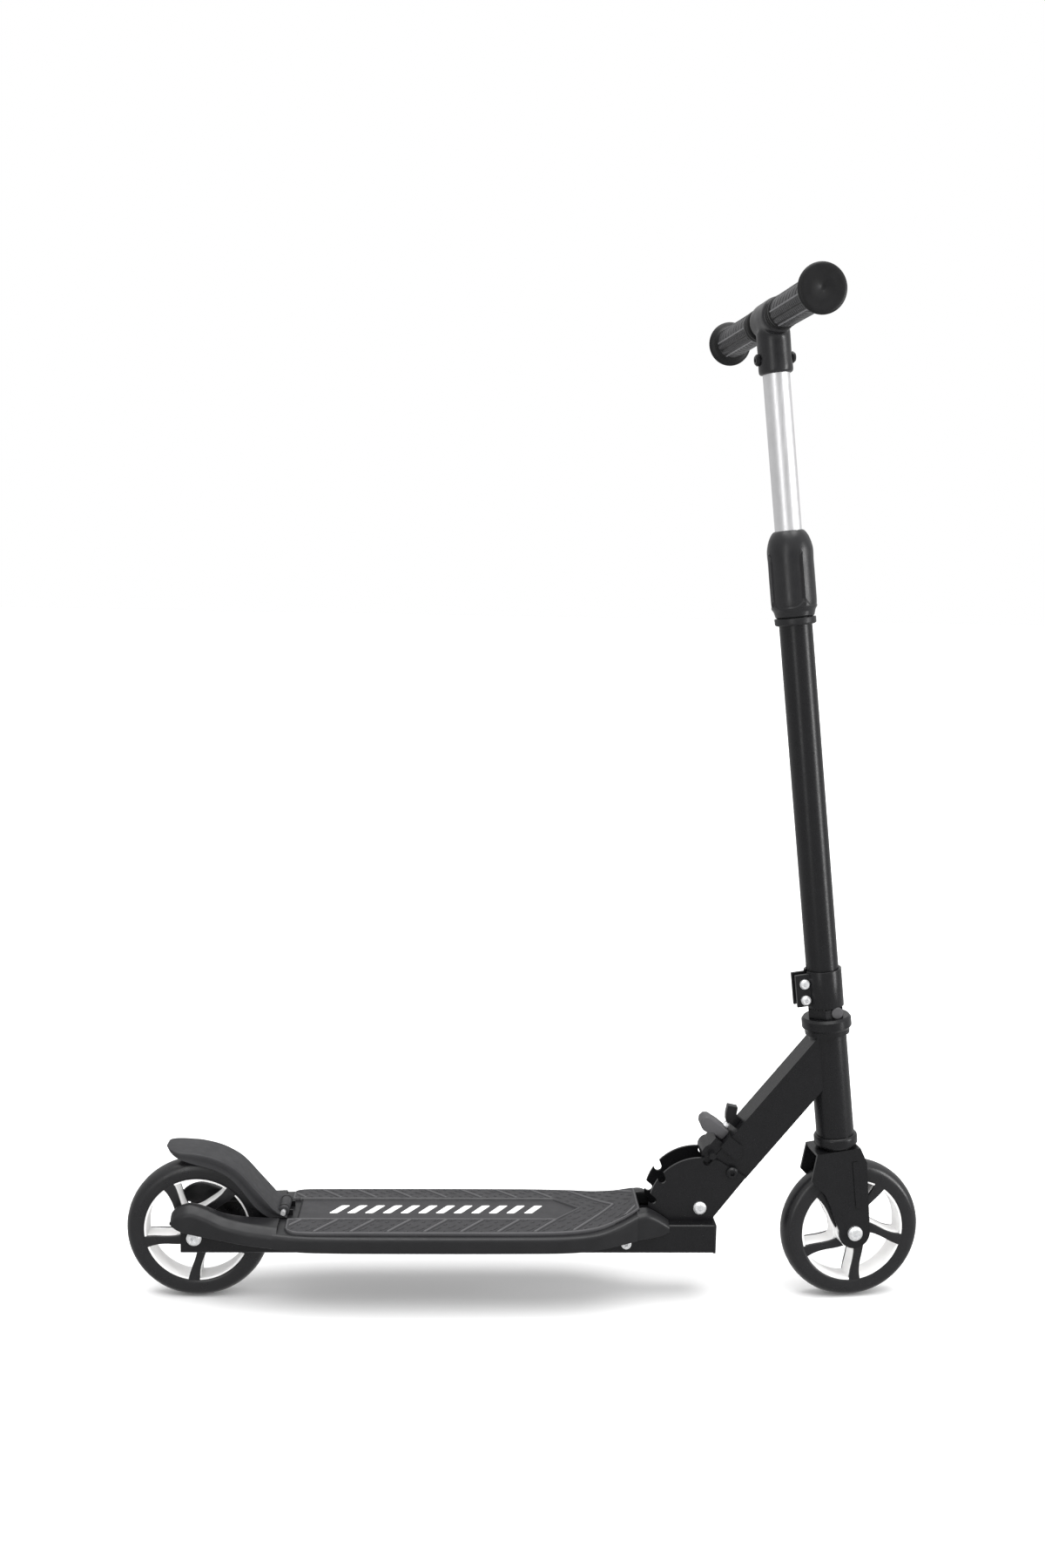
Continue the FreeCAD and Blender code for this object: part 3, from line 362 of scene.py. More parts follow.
def loft_data(sections):
    """Closed skin through closed loops of equal length, with flat ends."""
    size = len(sections[0])
    verts = [p for loop in sections for p in loop]
    faces = []
    for row in range(len(sections) - 1):
        for i in range(size):
            j = (i + 1) % size
            a = row * size
            faces.append((a + i, a + j, a + size + j, a + size + i))
    end = (len(sections) - 1) * size
    faces.append(tuple(range(size))[::-1])
    faces.append(tuple(end + i for i in range(size)))
    return verts, faces


def lathe_data(profile, axis, steps=96):
    """Turned skin from (radius, height) corners; radius 0 closes an end."""
    verts = []
    rings = []
    for radius, height in profile:
        if radius == 0:
            rings.append([len(verts)])
            verts.append((0, height, 0) if axis == "y" else (0, 0, height))
            continue
        ring = []
        for i in range(steps):
            angle = 2 * math.pi * i / steps
            u, v = radius * math.cos(angle), radius * math.sin(angle)
            ring.append(len(verts))
            verts.append((u, height, v) if axis == "y" else (u, v, height))
        rings.append(ring)
    faces = []
    closed = rings[0] if len(rings[0]) > 1 else None
    pairs = list(zip(rings, rings[1:]))
    if closed:
        pairs.append((rings[-1], closed))
    for a, b in pairs:
        for i in range(steps):
            j = (i + 1) % steps
            if len(a) == 1 and len(b) > 1:
                faces.append((a[0], b[j], b[i]))
            elif len(b) == 1 and len(a) > 1:
                faces.append((a[i], a[j], b[0]))
            elif len(a) > 1:
                faces.append((a[i], a[j], b[j], b[i]))
    return verts, faces


def joined(parts):
    """Several (vertices, faces) pairs as one."""
    verts, faces = [], []
    for more_verts, more_faces in parts:
        start = len(verts)
        verts += more_verts
        faces += [tuple(start + i for i in face) for face in more_faces]
    return verts, faces


def piece_from(name, data, where, body, slot, nodes=(), look=None, sharp_deg=40):
    mesh = mesh_from(name, data[0], data[1], where)
    return new_piece(name, mesh, body, slot, nodes, look, sharp_deg)


def rounded_corners(points, radius, steps=4):
    """Closed outline with each corner replaced by a short curve."""
    result = []
    count = len(points)
    for i in range(count):
        before, corner, after = points[i - 1], points[i], points[(i + 1) % count]
        reach_a = min(radius, math.dist(before, corner) * 0.48)
        reach_b = min(radius, math.dist(after, corner) * 0.48)
        a = [c + (b - c) * reach_a / math.dist(before, corner) for b, c in zip(before, corner)]
        b = [c + (n - c) * reach_b / math.dist(after, corner) for n, c in zip(after, corner)]
        for k in range(steps + 1):
            t = k / steps
            result.append(tuple(
                (1 - t) ** 2 * p + 2 * t * (1 - t) * c + t * t * q
                for p, c, q in zip(a, corner, b)
            ))
    return result


def plate_data(loops, half, bevel, middle=0.0):
    """Flat plate in x and z with holes, rounded edges and a thickness along y."""
    curve = bpy.data.curves.new("plate", "CURVE")
    curve.dimensions = "2D"
    curve.fill_mode = "BOTH"
    curve.extrude = half - bevel
    curve.bevel_depth = bevel
    curve.bevel_resolution = 2
    curve.offset = -bevel
    for loop in loops:
        spline = curve.splines.new("POLY")
        spline.points.add(len(loop) - 1)
        for point, (x, z) in zip(spline.points, loop):
            point.co = (x, z, 0, 1)
        spline.use_cyclic_u = True
    maker = bpy.data.objects.new("plate", curve)
    mesh = bpy.data.meshes.new_from_object(maker)
    bpy.data.objects.remove(maker)
    bm = bmesh.new()
    bm.from_mesh(mesh)
    bmesh.ops.remove_doubles(bm, verts=bm.verts, dist=1e-4)
    bm.verts.index_update()
    verts = [(v.co.x, middle + v.co.z, v.co.y) for v in bm.verts]
    faces = [tuple(v.index for v in f.verts) for f in bm.faces]
    bm.free()
    bpy.data.meshes.remove(mesh)
    return verts, faces


# ------------------------------------------------------------------ wheels
TYRE_R = 72.5
LIP_R = 53.7
BARREL_R = 51.6
LIP_EDGE_R = 54.5
CORE_BORE_R = 11.0
CORE_HALF = 9.3
EDGE_BEVEL = 0.6
SPOKE_HALF = 1.5
SPOKE_OFFSET = 10.7
SPOKES = 5
REAR_SPOKE_DEG = 50.0
FRONT_SPOKE_DEG = 52.04


def spoke_sides(rim_deg, r0, r1, steps=14):
    """The two long edges of a swept spoke, from the hub outwards."""
    left, right = [], []
    for i in range(steps + 1):
        t = i / steps
        radius = r0 + (r1 - r0) * t
        reach = max(0.0, 1 - (radius - 14) / 40)
        angle = math.radians(rim_deg + 28 * reach ** 2.5)
        half = 4.2 + 1.6 * abs(2 * t - 0.9) ** 1.6
        turn = half / radius
        left.append((radius * math.cos(angle + turn), radius * math.sin(angle + turn)))
        right.append((radius * math.cos(angle - turn), radius * math.sin(angle - turn)))
    return left, right


def window_loop(rim_deg):
    """Opening between one spoke and the next, with soft corners."""
    pitch = 360 / SPOKES
    near_side = spoke_sides(rim_deg, 20.5, BARREL_R)[0]
    far_side = spoke_sides(rim_deg + pitch, 20.5, BARREL_R)[1]
    start = math.atan2(near_side[-1][1], near_side[-1][0])
    stop = math.atan2(far_side[-1][1], far_side[-1][0])
    if stop < start:
        stop += 2 * math.pi
    rim = [
        (BARREL_R * math.cos(a), BARREL_R * math.sin(a)) for a in spaced(start, stop, 16)[1:-1]
    ]
    near_foot, far_foot = near_side[0], far_side[0]
    loop = near_side[1:] + rim + far_side[:0:-1]
    hub = [
        tuple(a + (b - a) * t for a, b in zip(far_foot, near_foot)) for t in (0.25, 0.5, 0.75)
    ]
    return rounded_corners(loop + hub, 2.6)


def build_wheel(prefix, body, where, first_deg):
    tread = [
        (LIP_R, 11.2), (LIP_R, 11.9), (54.2, 12.4), (56.5, 12.7), (59.5, 13.0), (62.0, 13.0),
        (64.6, 12.7), (66.8, 11.9), (68.7, 10.5), (70.3, 8.5), (71.5, 6.0), (72.2, 3.2),
        (TYRE_R, 0),
    ]
    profile = tread + [(r, -y) for r, y in tread[-2::-1]]
    profile += [(55.4, -11.2), (55.4, 11.2)]
    parts = [lathe_data(profile, "y", 160)]
    for i in range(SPOKES):
        left, right = spoke_sides(first_deg + i * 360 / SPOKES, 18.3, LIP_R + 1.2)
        outline = left + right[::-1]
        for side in (-1, 1):
            parts.append(plate_data([outline], SPOKE_HALF, EDGE_BEVEL, side * SPOKE_OFFSET))
    piece_from(
        prefix + "_tyre_moulded", joined(parts), where, body, "wheel_black", [prefix + "_tyre"]
    )

    circle = spaced(0, 2 * math.pi, 121)[:-1]
    edge = [(LIP_EDGE_R * math.cos(a), LIP_EDGE_R * math.sin(a)) for a in circle]
    bore = [(CORE_BORE_R * math.cos(a), CORE_BORE_R * math.sin(a)) for a in circle[::2]]
    windows = [window_loop(first_deg + i * 360 / SPOKES) for i in range(SPOKES)]
    parts = [plate_data([edge, bore] + windows, CORE_HALF, EDGE_BEVEL)]
    barrel = [
        (BARREL_R + 0.6, 11.7), (BARREL_R, 11.2), (BARREL_R, -11.2), (BARREL_R + 0.6, -11.7),
        (LIP_R - 0.2, -11.7), (LIP_R - 0.2, -10.9), (55.3, -10.9), (55.3, 10.9),
        (LIP_R - 0.2, 10.9), (LIP_R - 0.2, 11.7),
    ]
    parts.append(lathe_data(barrel, "y", 160))
    hub = [
        (CORE_BORE_R, 12.0), (16.0, 12.0), (17.0, 11.0), (17.6, 7.0), (17.6, -7.0),
        (17.0, -11.0), (16.0, -12.0), (CORE_BORE_R, -12.0),
    ]
    parts.append(lathe_data(hub, "y", 64))
    piece_from(
        prefix + "_core_moulded", joined(parts), where, body, "wheel_white", [prefix + "_rim"]
    )


build_wheel("rear", "rear_wheel", REAR_HUB, REAR_SPOKE_DEG)
build_wheel("front", "front_wheel", FRONT_HUB, FRONT_SPOKE_DEG)


# ------------------------------------------------------------------ deck cover and grip mat
SKIN = 2.3
DECK_REAR = -254.0
SKIRT_INSIDE = 86.4

# x, half width, skirt foot, ridge height, middle height
DECK = (
    (DECK_REAR, 54.2, 71.5, 86.4, 88.4), (-235.0, 57.6, 70.4, 85.8, 88.4),
    (-215.0, 59.5, 70.0, 85.5, 88.4), (-160.0, 61.0, 70.0, 85.5, 88.4),
    (0.0, 61.0, 70.0, 85.5, 88.4), (45.0, 59.0, 70.0, 85.8, 88.5),
    (72.0, 54.0, 71.0, 87.4, 89.8), (93.0, 46.0, 72.0, 92.3, 94.0),
    (104.0, 41.0, 72.6, 96.2, 97.6), (113.0, 37.5, 73.5, 99.6, 101.0),
)
# x, half width, skirt foot, top
ARM = (
    (-358.2, 33.0, 89.6, 93.2), (-357.2, 34.2, 87.2, 96.6), (-354.4, 35.4, 84.8, 100.4),
    (-349.6, 36.8, 82.2, 104.2), (-343.0, 37.8, 80.2, 107.0), (-336.0, 38.2, 78.5, 107.8),
    (-322.0, 40.0, 76.5, 103.8), (-305.0, 43.0, 74.5, 97.0), (-282.0, 48.5, 72.5, 93.2),
    (-252.0, 54.8, 71.4, 91.6),
)
LOBE = (
    (111.0, 38.0, 73.4, 100.6), (120.0, 36.4, 73.9, 101.4), (128.0, 34.6, 74.6, 98.4),
    (136.0, 33.0, 76.0, 93.4), (143.0, 32.0, 79.0, 88.2),
)


def crown(x, y):
    """Height of the cover's top at a point."""
    half, ridge, middle = along(DECK, x, 1), along(DECK, x, 3), along(DECK, x, 4)
    return middle - (middle - ridge) * min(1.0, abs(y) / (half - 4)) ** 2.2


def cover_loop(x):
    """Section of the cover: rounded shoulders, skirts and an even skin, open below."""
    half, foot, ridge = along(DECK, x, 1), along(DECK, x, 2), along(DECK, x, 3)
    side = [(half, foot), (half + 0.1, foot + 4), (half, ridge - 5)]
    for turn in spaced(0, 90, 7)[1:]:
        a = math.radians(turn)
        side.append((half - 4 + 4 * math.cos(a), ridge - 4.2 + 4.2 * math.sin(a)))
    top = [(y, crown(x, y)) for y in spaced(half - 6, 0, 9)]
    outer = side + top
    inner = [(0, outer[-1][1] - SKIN), (half - 12, ridge - SKIN), (half - 3, ridge - 6)]
    inner.append((half - 2.6, foot))
    loop = [(x, -y, z) for y, z in outer]
    loop += [(x, y, z) for y, z in outer[-2::-1]]
    loop += [(x, y, z) for y, z in inner[::-1]]
    loop += [(x, -y, z) for y, z in inner[1:]]
    return loop


def side_loop(x, inside, half, foot, top, drop, lean):
    """Section of an arm or lobe beside the middle: cap, shoulder and skirt."""
    shoulder = rounded_corners([
        (inside, SKIRT_INSIDE), (inside, top), (half - lean, top - 0.8), (half, top - drop),
        (half, foot), (half - 2.4, foot), (half - 2.4, SKIRT_INSIDE),
    ], 3.0, 5)
    return [(x, -y, z) for y, z in shoulder]


def mirrored(data):
    """The same shape on the other side of the scooter."""
    verts, faces = data
    return [(x, -y, z) for x, y, z in verts], faces


def build_cover():
    body = loft_data([cover_loop(x) for x in spaced(DECK_REAR, 110.2, 74)])
    arms = loft_data([
        side_loop(x, 24, along(ARM, x, 1), along(ARM, x, 2), along(ARM, x, 3), 8.4, 8.0)
        for x in spaced(-358.2, -350, 14) + spaced(-348, -250, 36)
    ])
    lobes = loft_data([
        side_loop(x, 19.7, along(LOBE, x, 1), along(LOBE, x, 2), along(LOBE, x, 3), 4.6, 5.0)
        for x in spaced(109.6, 143, 18)
    ])
    parts = [body, arms, mirrored(arms), lobes, mirrored(lobes)]
    piece_from(
        "deck_cover_moulded", joined(parts), ROW, "deck", "black_plastic", ["deck_cover"],
        sharp_deg=50,
    )


build_cover()

MAT_LIFT = 2.4
MAT_REAR = -243.0
MAT_FRONT = 113.0
NOTCH_HALF = 24.4
NOTCH_FRONT = -233.2
PANEL_HALF = 24.0
PANEL_REAR = -232.0
PANEL_SHOULDER = 28.0
PANEL_TIP = 52.0
RIB_PITCH = 36.5
RIB_SLOPE = 0.9
RIB_LEAD = 88.0
STUD_LEAD = 8.0
STUD_PITCH = 10.2
STUD_ROW = 9.2
FAR = 9.0
PANEL_SINK = 1.3
BORDER_HEIGHT = 0.9
RIM_HEIGHT = 0.7
RIB_HEIGHT = 1.15

# x, half width
MAT = (
    (MAT_REAR, 43.0), (-240.0, 48.5), (-234.0, 52.4), (-224.0, 54.0), (-200.0, 54.5),
    (0.0, 54.5), (45.0, 51.6), (72.0, 45.0), (93.0, 36.0), (107.0, 29.4), (MAT_FRONT, 25.0),
)


def panel_depth(x, y):
    """How far inside the sunk panel a point is, in millimetres; negative outside."""
    width = PANEL_HALF
    if x > PANEL_SHOULDER:
        width = PANEL_HALF * (PANEL_TIP - x) / (PANEL_TIP - PANEL_SHOULDER)
    return min(width - abs(y), x - PANEL_REAR, PANEL_TIP - x)


def stud_distance(x, y):
    """Distance from the nearest short bar between the ribs, as a share of its size."""
    phase = (x + RIB_SLOPE * abs(y) - RIB_LEAD) % RIB_PITCH
    column = round((phase - STUD_LEAD) / STUD_PITCH)
    if column < 0 or column > 2:
        return FAR
    across = abs(y) - (4.6 if column % 2 else 0.4)
    row = round(across / STUD_ROW)
    du = phase - (STUD_LEAD + STUD_PITCH * column)
    dv = across - STUD_ROW * row
    long, short = (2.3, 0.95) if (row + column) % 2 else (1.0, 1.0)
    return math.hypot((dv - 0.5 * du) / long, (du + 0.5 * dv) / short)


def mat_relief(x, y, edge):
    """Height of the mat's pattern at a point, with its painted highlight (light) and its painted
    shade (dark).
    """
    depth = panel_depth(x, y)
    if depth > 0:
        # Inside the sunk panel: painted shade along the panel's walls, and no painted highlight.
        return -PANEL_SINK * smooth_step(depth / 0.8), 0.0, smooth_step(1.5 - depth / 1.2)
    border = smooth_step(1.6 - abs(-depth - 1.4) / 0.7)
    rim = smooth_step(1.7 - abs(edge - 1.6) / 0.7)
    frame_height = max(BORDER_HEIGHT * border, RIM_HEIGHT * rim)
    if depth > -3.2 or edge < 3.6:
        # Painted highlight on the border and rim tops, and painted shade in a line just outside the
        # border, with no cut in the surface there.
        painted_groove_shade = smooth_step(1.0 - abs(-depth - 3.0) / 0.8)
        return frame_height, 0.6 * max(border, rim), 0.7 * painted_groove_shade
    offset = (x + RIB_SLOPE * abs(y) - RIB_LEAD) % RIB_PITCH
    offset = min(offset, RIB_PITCH - offset) / math.hypot(1, RIB_SLOPE)
    rib = smooth_step(1.75 - offset / 0.8)
    # Painted shade in bands beside each rib and in rings around each stud; painted highlight on rib
    # and stud tops.
    beside = smooth_step(1.0 - abs(offset - 2.0) / 0.9)
    stud = stud_distance(x, y) if offset > 3.0 else FAR
    top = smooth_step(1.4 - stud)
    around = smooth_step(2.3 - stud) - top
    height = max(frame_height, RIB_HEIGHT * rib, top)
    return height, max(0.9 * rib, 0.35 * top), max(0.9 * beside, around)


def fix_order(bm, triangles):
    """Gives faces a fixed order, because the order that a fill leaves them in varies by run."""
    bm.verts.index_update()
    corners = sorted(sorted(v.index for v in face.verts) for face in triangles)
    bmesh.ops.delete(bm, geom=triangles, context="FACES")
    bm.verts.ensure_lookup_table()
    for indices in corners:
        bm.faces.new([bm.verts[i] for i in indices])
    size = len(bm.verts)

    def place(face):
        a, b, c = sorted(v.index for v in face.verts)[:3]
        return (a * size + b) * size + c

    bm.faces.sort(key=place)


def build_mat():
    """Ribbed sheet with a skirt below it; its rear edge is notched where the fender turns."""
    rows = spaced(MAT_REAR, MAT_FRONT, 510)
    inner = spaced(0, NOTCH_HALF, 36)
    share = [t / 48 for t in range(1, 49)]
    verts, raised, sunk, index = [], [], [], {}
    for i, x in enumerate(rows):
        half = along(MAT, x, 1)
        side = inner + [NOTCH_HALF + (half - NOTCH_HALF) * t for t in share]
        for j, y_abs in enumerate(side):
            for sign in ((1, -1) if j else (1,)):
                y = sign * y_abs
                edge = min(half - y_abs, x - MAT_REAR, MAT_FRONT - x)
                if x < NOTCH_FRONT + 0.7:
                    edge = min(edge, max(y_abs - NOTCH_HALF, 0))
                lift = MAT_LIFT * (1 - (1 - smooth_step(edge / 1.2)) * 0.45)
                # light is the painted highlight and dark the painted shade at this point.
                height, light, dark = mat_relief(x, y, edge)
                z = crown(x, y) + lift + height
                index[i, sign * j] = len(verts)
                verts.append((x, y, z))
                raised.append(light)
                sunk.append(dark)
    last = len(inner) + len(share) - 1
    faces = []
    for i in range(len(rows) - 1):
        open_notch = rows[i] < NOTCH_FRONT
        for j in range(-last, last):
            if open_notch and -len(inner) < j < len(inner) - 1:
                continue
            faces.append((index[i, j], index[i + 1, j], index[i + 1, j + 1], index[i, j + 1]))
    mesh = mesh_from("deck_mat_ribbed", verts, faces, ROW, raised=raised, sunk=sunk)
    bm = bmesh.new()
    bm.from_mesh(mesh)
    bmesh.ops.delete(bm, geom=[v for v in bm.verts if not v.link_faces], context="VERTS")
    rim = [e for e in bm.edges if e.is_boundary]
    skirt = bmesh.ops.extrude_edge_only(bm, edges=rim)["geom"]
    low = [v for v in skirt if isinstance(v, bmesh.types.BMVert)]
    for v in low:
        v.co.z = (crown(v.co.x / MM, v.co.y / MM) - 0.4) * MM
    loop = [e for e in bm.edges if e.is_boundary]
    filled = bmesh.ops.triangle_fill(bm, use_beauty=False, edges=loop)["geom"]
    fix_order(bm, [f for f in filled if isinstance(f, bmesh.types.BMFace)])
    bm.to_mesh(mesh)
    bm.free()
    new_piece("deck_mat_ribbed", mesh, "deck", "grip_mat", ["deck_mat"], sharp_deg=60)


build_mat()


def build_print():
    """Plain slanted bars along the panel, in place of lettering."""
    width, reach, lean = 8.5, 9.5, 6.0
    parts = []
    for x in spaced(-196, 2, 12):
        bar = rounded_corners([
            (x - lean, -reach), (x - lean + width, -reach), (x + lean + width, reach),
            (x + lean, reach),
        ], 2.0)
        low = [(px, py, crown(px, py) + 1.0) for px, py in bar]
        high = [(px, py, crown(px, py) + 1.32) for px, py in bar]
        parts.append(loft_data([low, high]))
    piece_from("deck_print", joined(parts), ROW, "deck", "wheel_white", look=LOOKS["print"])


build_print()


# ------------------------------------------------------------------ fender
# x, top, lower edge
FENDER = (
    (-364.6, 160.2, 159.2), (-363.4, 160.4, 157.9), (-359.5, 159.6, 154.6),
    (-353.0, 158.4, 150.6), (-343.0, 157.4, 146.8), (-333.0, 156.5, 143.6),
    (-315.5, 152.3, 138.6), (-300.5, 145.3, 130.0), (-289.5, 137.2, 118.5),
    (-275.0, 120.9, 99.5), (-262.0, 106.0, 89.2), (-257.0, 100.2, 89.1), (-243.2, 89.9, 88.9),
)
FENDER_HALF = 21.0
LIP_START = -344.0
LIP_REACH = 22.0
WHEEL_X = REAR_HUB.translation.x / MM
WHEEL_Z = REAR_HUB.translation.z / MM
# The wheel's centre as the fender meets it when the brake is pressed.
PRESSED_X = WHEEL_X - 1.0
PRESSED_Z = WHEEL_Z + 4.6
SHOE_FRONT = -318.5
SHOE_ROOM = 81.1
TYRE_ROOM = 73.3


def fender_loop(x):
    """Channel section, open below and arched over the tyre, with a solid lip at the rear."""
    top, low = along(FENDER, x, 1), along(FENDER, x, 2)
    reach = max(0.0, (LIP_START - x) / LIP_REACH)
    half = FENDER_HALF * math.sqrt(1 - reach ** 2.4)
    under = top - 2.6
    if x < SHOE_FRONT:
        arch, middle_x, middle_z = SHOE_ROOM, WHEEL_X, WHEEL_Z
    else:
        arch, middle_x, middle_z = TYRE_ROOM, PRESSED_X, PRESSED_Z
    rise = arch ** 2 - (x - middle_x) ** 2
    if rise > 0:
        under = min(top - 1.7, middle_z + math.sqrt(rise))
    solid = 1 - smooth_step((x + 352) / 7.0)
    under = under + (low + 0.4 - under) * solid
    under = max(under, low + 0.4)
    depth = top - low
    wall = [
        (half, top - min(2.4, depth * 0.3)), (half, top - depth * 0.36),
        (half - 1.5, top - depth * 0.50), (half - 2.0, top - depth * 0.75),
        (half - 1.6, low + 0.3), (half - 2.2, low),
    ]
    cap = []
    edge = min(2.8, half * 0.4)
    drop = min(2.4, depth * 0.4)
    for turn in spaced(84, 8, 6):
        a = math.radians(turn)
        cap.append((half - edge + edge * math.cos(a), top - drop + drop * math.sin(a) * 0.94))
    middle = [(y, top - 0.14 * abs(y) / half) for y in spaced(0, half - edge * 1.2, 6)]
    inner_half = min(16.2, half - 4.2) - 2.0 * solid * (half / FENDER_HALF)
    inner = [
        (inner_half, low), (inner_half - 0.2, max(low + 0.2, under - 1.0)),
        (inner_half * 0.9, under), (0, under),
    ]
    outer = middle + cap + wall
    loop = [(x, -y, z) for y, z in outer + inner]
    loop += [(x, y, z) for y, z in (outer + inner)[-2:0:-1]]
    return loop


def build_fender():
    """Fender with the three hinge barrels that sit on the brake pin."""
    rows = spaced(FENDER[0][0], -352, 22) + spaced(-350.5, FENDER[-1][0], 72)
    data = loft_data([fender_loop(x) for x in rows])
    pin_x, pin_z = -247.0, 94.0
    barrels = []
    for y0, y1 in ((-16.0, -12.6), (-9.2, 9.2), (12.6, 16.0)):
        ring = [
            (2.6, y0), (5.2, y0), (5.6, y0 + 0.5), (5.6, y1 - 0.5), (5.2, y1), (2.6, y1),
        ]
        verts, faces = lathe_data(ring, "y", 32)
        barrels.append(([(x + pin_x, y, z + pin_z) for x, y, z in verts], faces))
    piece_from(
        "fender_moulded", joined([data] + barrels), ROW, "brake", "black_plastic", ["fender"],
        look=LOOKS["fender"], sharp_deg=50,
    )


build_fender()


# ------------------------------------------------------------------ grips, crossbar and tee
def skin_rows(rows, steps, axis):
    """Skin through rings of points; each row is a list of radii around one height."""
    verts, faces = [], []
    for height, radii in rows:
        for i, radius in enumerate(radii):
            angle = 2 * math.pi * i / steps
            u, v = radius * math.cos(angle), radius * math.sin(angle)
            verts.append((u, height, v) if axis == "y" else (u, v, height))
    for row in range(len(rows) - 1):
        for i in range(steps):
            j = (i + 1) % steps
            a, b = row * steps, (row + 1) * steps
            faces.append((a + i, a + j, b + j, b + i))
    end = (len(rows) - 1) * steps
    faces.append(tuple(range(steps))[::-1])
    faces.append(tuple(end + i for i in range(steps)))
    return verts, faces


BAR_HEIGHT = 916.4
GRIP_STEPS = 180
GRIP_R = 15.0
GRIP_LONG = 116.0
GRIP_RIBS = 6
CHEVRON_PITCH = 9.2
DOT_PITCH = 4.6


def grip_relief(angle, t):
    """Height of the grip's pattern and its painted highlight, at an angle and a distance along it.
    """
    pitch = 2 * math.pi / GRIP_RIBS
    sector = math.floor(angle / pitch)
    u = (angle / pitch - sector) * 2 - 1
    across = (1 - abs(u)) * pitch / 2 * GRIP_R
    # Each branch gives a height and a painted highlight: lighter on the ribs and dots, darker in
    # the grooves as painted shade.
    if across < 0.9:
        line = smooth_step((0.9 - across) / 0.4)
        return 0.75 * line, max(0.2, line)
    sweep = t + 3.4 * u * u
    if sector % 2 == 0:
        painted_groove_shade = smooth_step(1.6 - abs((sweep % CHEVRON_PITCH) - CHEVRON_PITCH / 2) / 0.6)
        # The groove mask cuts the chevron groove and also darkens it as painted shade.
        return -1.15 * painted_groove_shade, 0.3 * (1 - painted_groove_shade)
    along_row = abs((sweep % DOT_PITCH) - DOT_PITCH / 2)
    from_row = abs(abs(u) - 0.45)
    dot = math.hypot(along_row / 0.9, from_row * 3.9 / 0.8)
    split = smooth_step(1.4 - abs(u) * 7.8 / 0.6)
    bump = smooth_step(1.5 - dot)
    return 0.7 * bump - 0.8 * split, 0.1 + 0.35 * bump


def grip_profile(t):
    """Plain radius of the grip at a distance from its inner end."""
    marks = (
        (0.0, 14.0), (0.8, 15.4), (3.4, 15.8), (4.2, 14.5), (5.6, 14.5), (6.4, 15.7), (9.0, 15.7),
        (9.8, 14.6), (11.5, 14.7), (104.0, 15.0), (107.0, 15.6), (109.0, 17.4), (110.2, 19.8),
        (111.2, 21.4), (112.6, 22.2), (113.8, 22.3), (115.0, 21.8), (115.8, 20.6), (116.0, 19.4),
    )
    for (t0, r0), (t1, r1) in zip(marks, marks[1:]):
        if t <= t1:
            return r0 + (r1 - r0) * (t - t0) / (t1 - t0)
    return marks[-1][1]


def build_grip(name, node, inner_end, side):
    """Grip from its inner end outwards; side is 1 or -1 along the bar."""
    rows, raised = [], []
    for t in spaced(0, 12, 31) + spaced(12.4, 104, 230) + spaced(104.5, 116, 26):
        base = grip_profile(t)
        fade = smooth_step((t - 10.5) / 1.0) * smooth_step((105.5 - t) / 1.5)
        radii = []
        for i in range(GRIP_STEPS):
            height, light = grip_relief(2 * math.pi * i / GRIP_STEPS, t)
            radii.append(base + height * fade)
            # Painted highlight on the grip's body, ribs and dots, fading out before the plain ends.
            raised.append(light * fade)
        rows.append((inner_end + side * t, radii))
    for radius, depth in ((17.0, 0.2), (12.0, 0.25), (3.4, 0.25), (2.4, 0.9), (1.0, 1.1)):
        rows.append((inner_end + side * (GRIP_LONG - depth), [radius] * GRIP_STEPS))
        raised += [0.0] * GRIP_STEPS
    verts, faces = skin_rows(rows, GRIP_STEPS, "y")
    verts = [(x, y, z + BAR_HEIGHT) for x, y, z in verts]
    mesh = mesh_from(name, verts, faces, COLUMN, raised=raised)
    new_piece(name, mesh, "handlebar", "grip_rubber", [node], sharp_deg=50)


build_grip("right_grip_moulded", "right_grip", -30.0, -1)
build_grip("left_grip_moulded", "left_grip", 32.0, 1)


TEE_VOXEL = 0.0011


def build_tee():
    """Stem and cross sleeve flowed into one casting."""
    stem = [
        (0, 864.6), (15.6, 864.6), (16.6, 865.6), (16.7, 868), (16.2, 884), (16.4, 905),
        (0, 905),
    ]
    sleeve = [
        (0, -25.5), (15.6, -25.5), (16.8, -24.3), (17.2, -20), (17.2, 16), (16.8, 19),
        (15.6, 20.2), (0, 20.2),
    ]
    verts, faces = lathe_data(sleeve, "y", 96)
    cross = ([(x, y, z + BAR_HEIGHT) for x, y, z in verts], faces)
    data = joined([lathe_data(stem, "z", 96), cross])
    rough = bpy.data.objects.new("tee_rough", mesh_from("tee_rough", data[0], data[1], COLUMN))
    bpy.context.scene.collection.objects.link(rough)
    remesh = rough.modifiers.new("flow", "REMESH")
    remesh.mode = "VOXEL"
    remesh.voxel_size = TEE_VOXEL
    soften = rough.modifiers.new("soften", "SMOOTH")
    soften.factor = 0.7
    soften.iterations = 24
    shaped = rough.evaluated_get(bpy.context.evaluated_depsgraph_get())
    mesh = bpy.data.meshes.new_from_object(shaped)
    bpy.data.objects.remove(rough)
    new_piece(
        "tee_moulded", mesh, "handlebar", slot_of_node("handlebar_tee"), ["handlebar_tee"],
        look=LOOKS["satin"], sharp_deg=180,
    )


build_tee()


# ------------------------------------------------------------------ height lock and headset
SLEEVE_STEPS = 180
SLEEVE_R = 23.0
FIN_R = 24.3
FIN_DEG = -80.0
SCALLOP_LOW = 641.0
SCALLOP_HIGH = 699.0
SCALLOP_DEPTH = 1.15


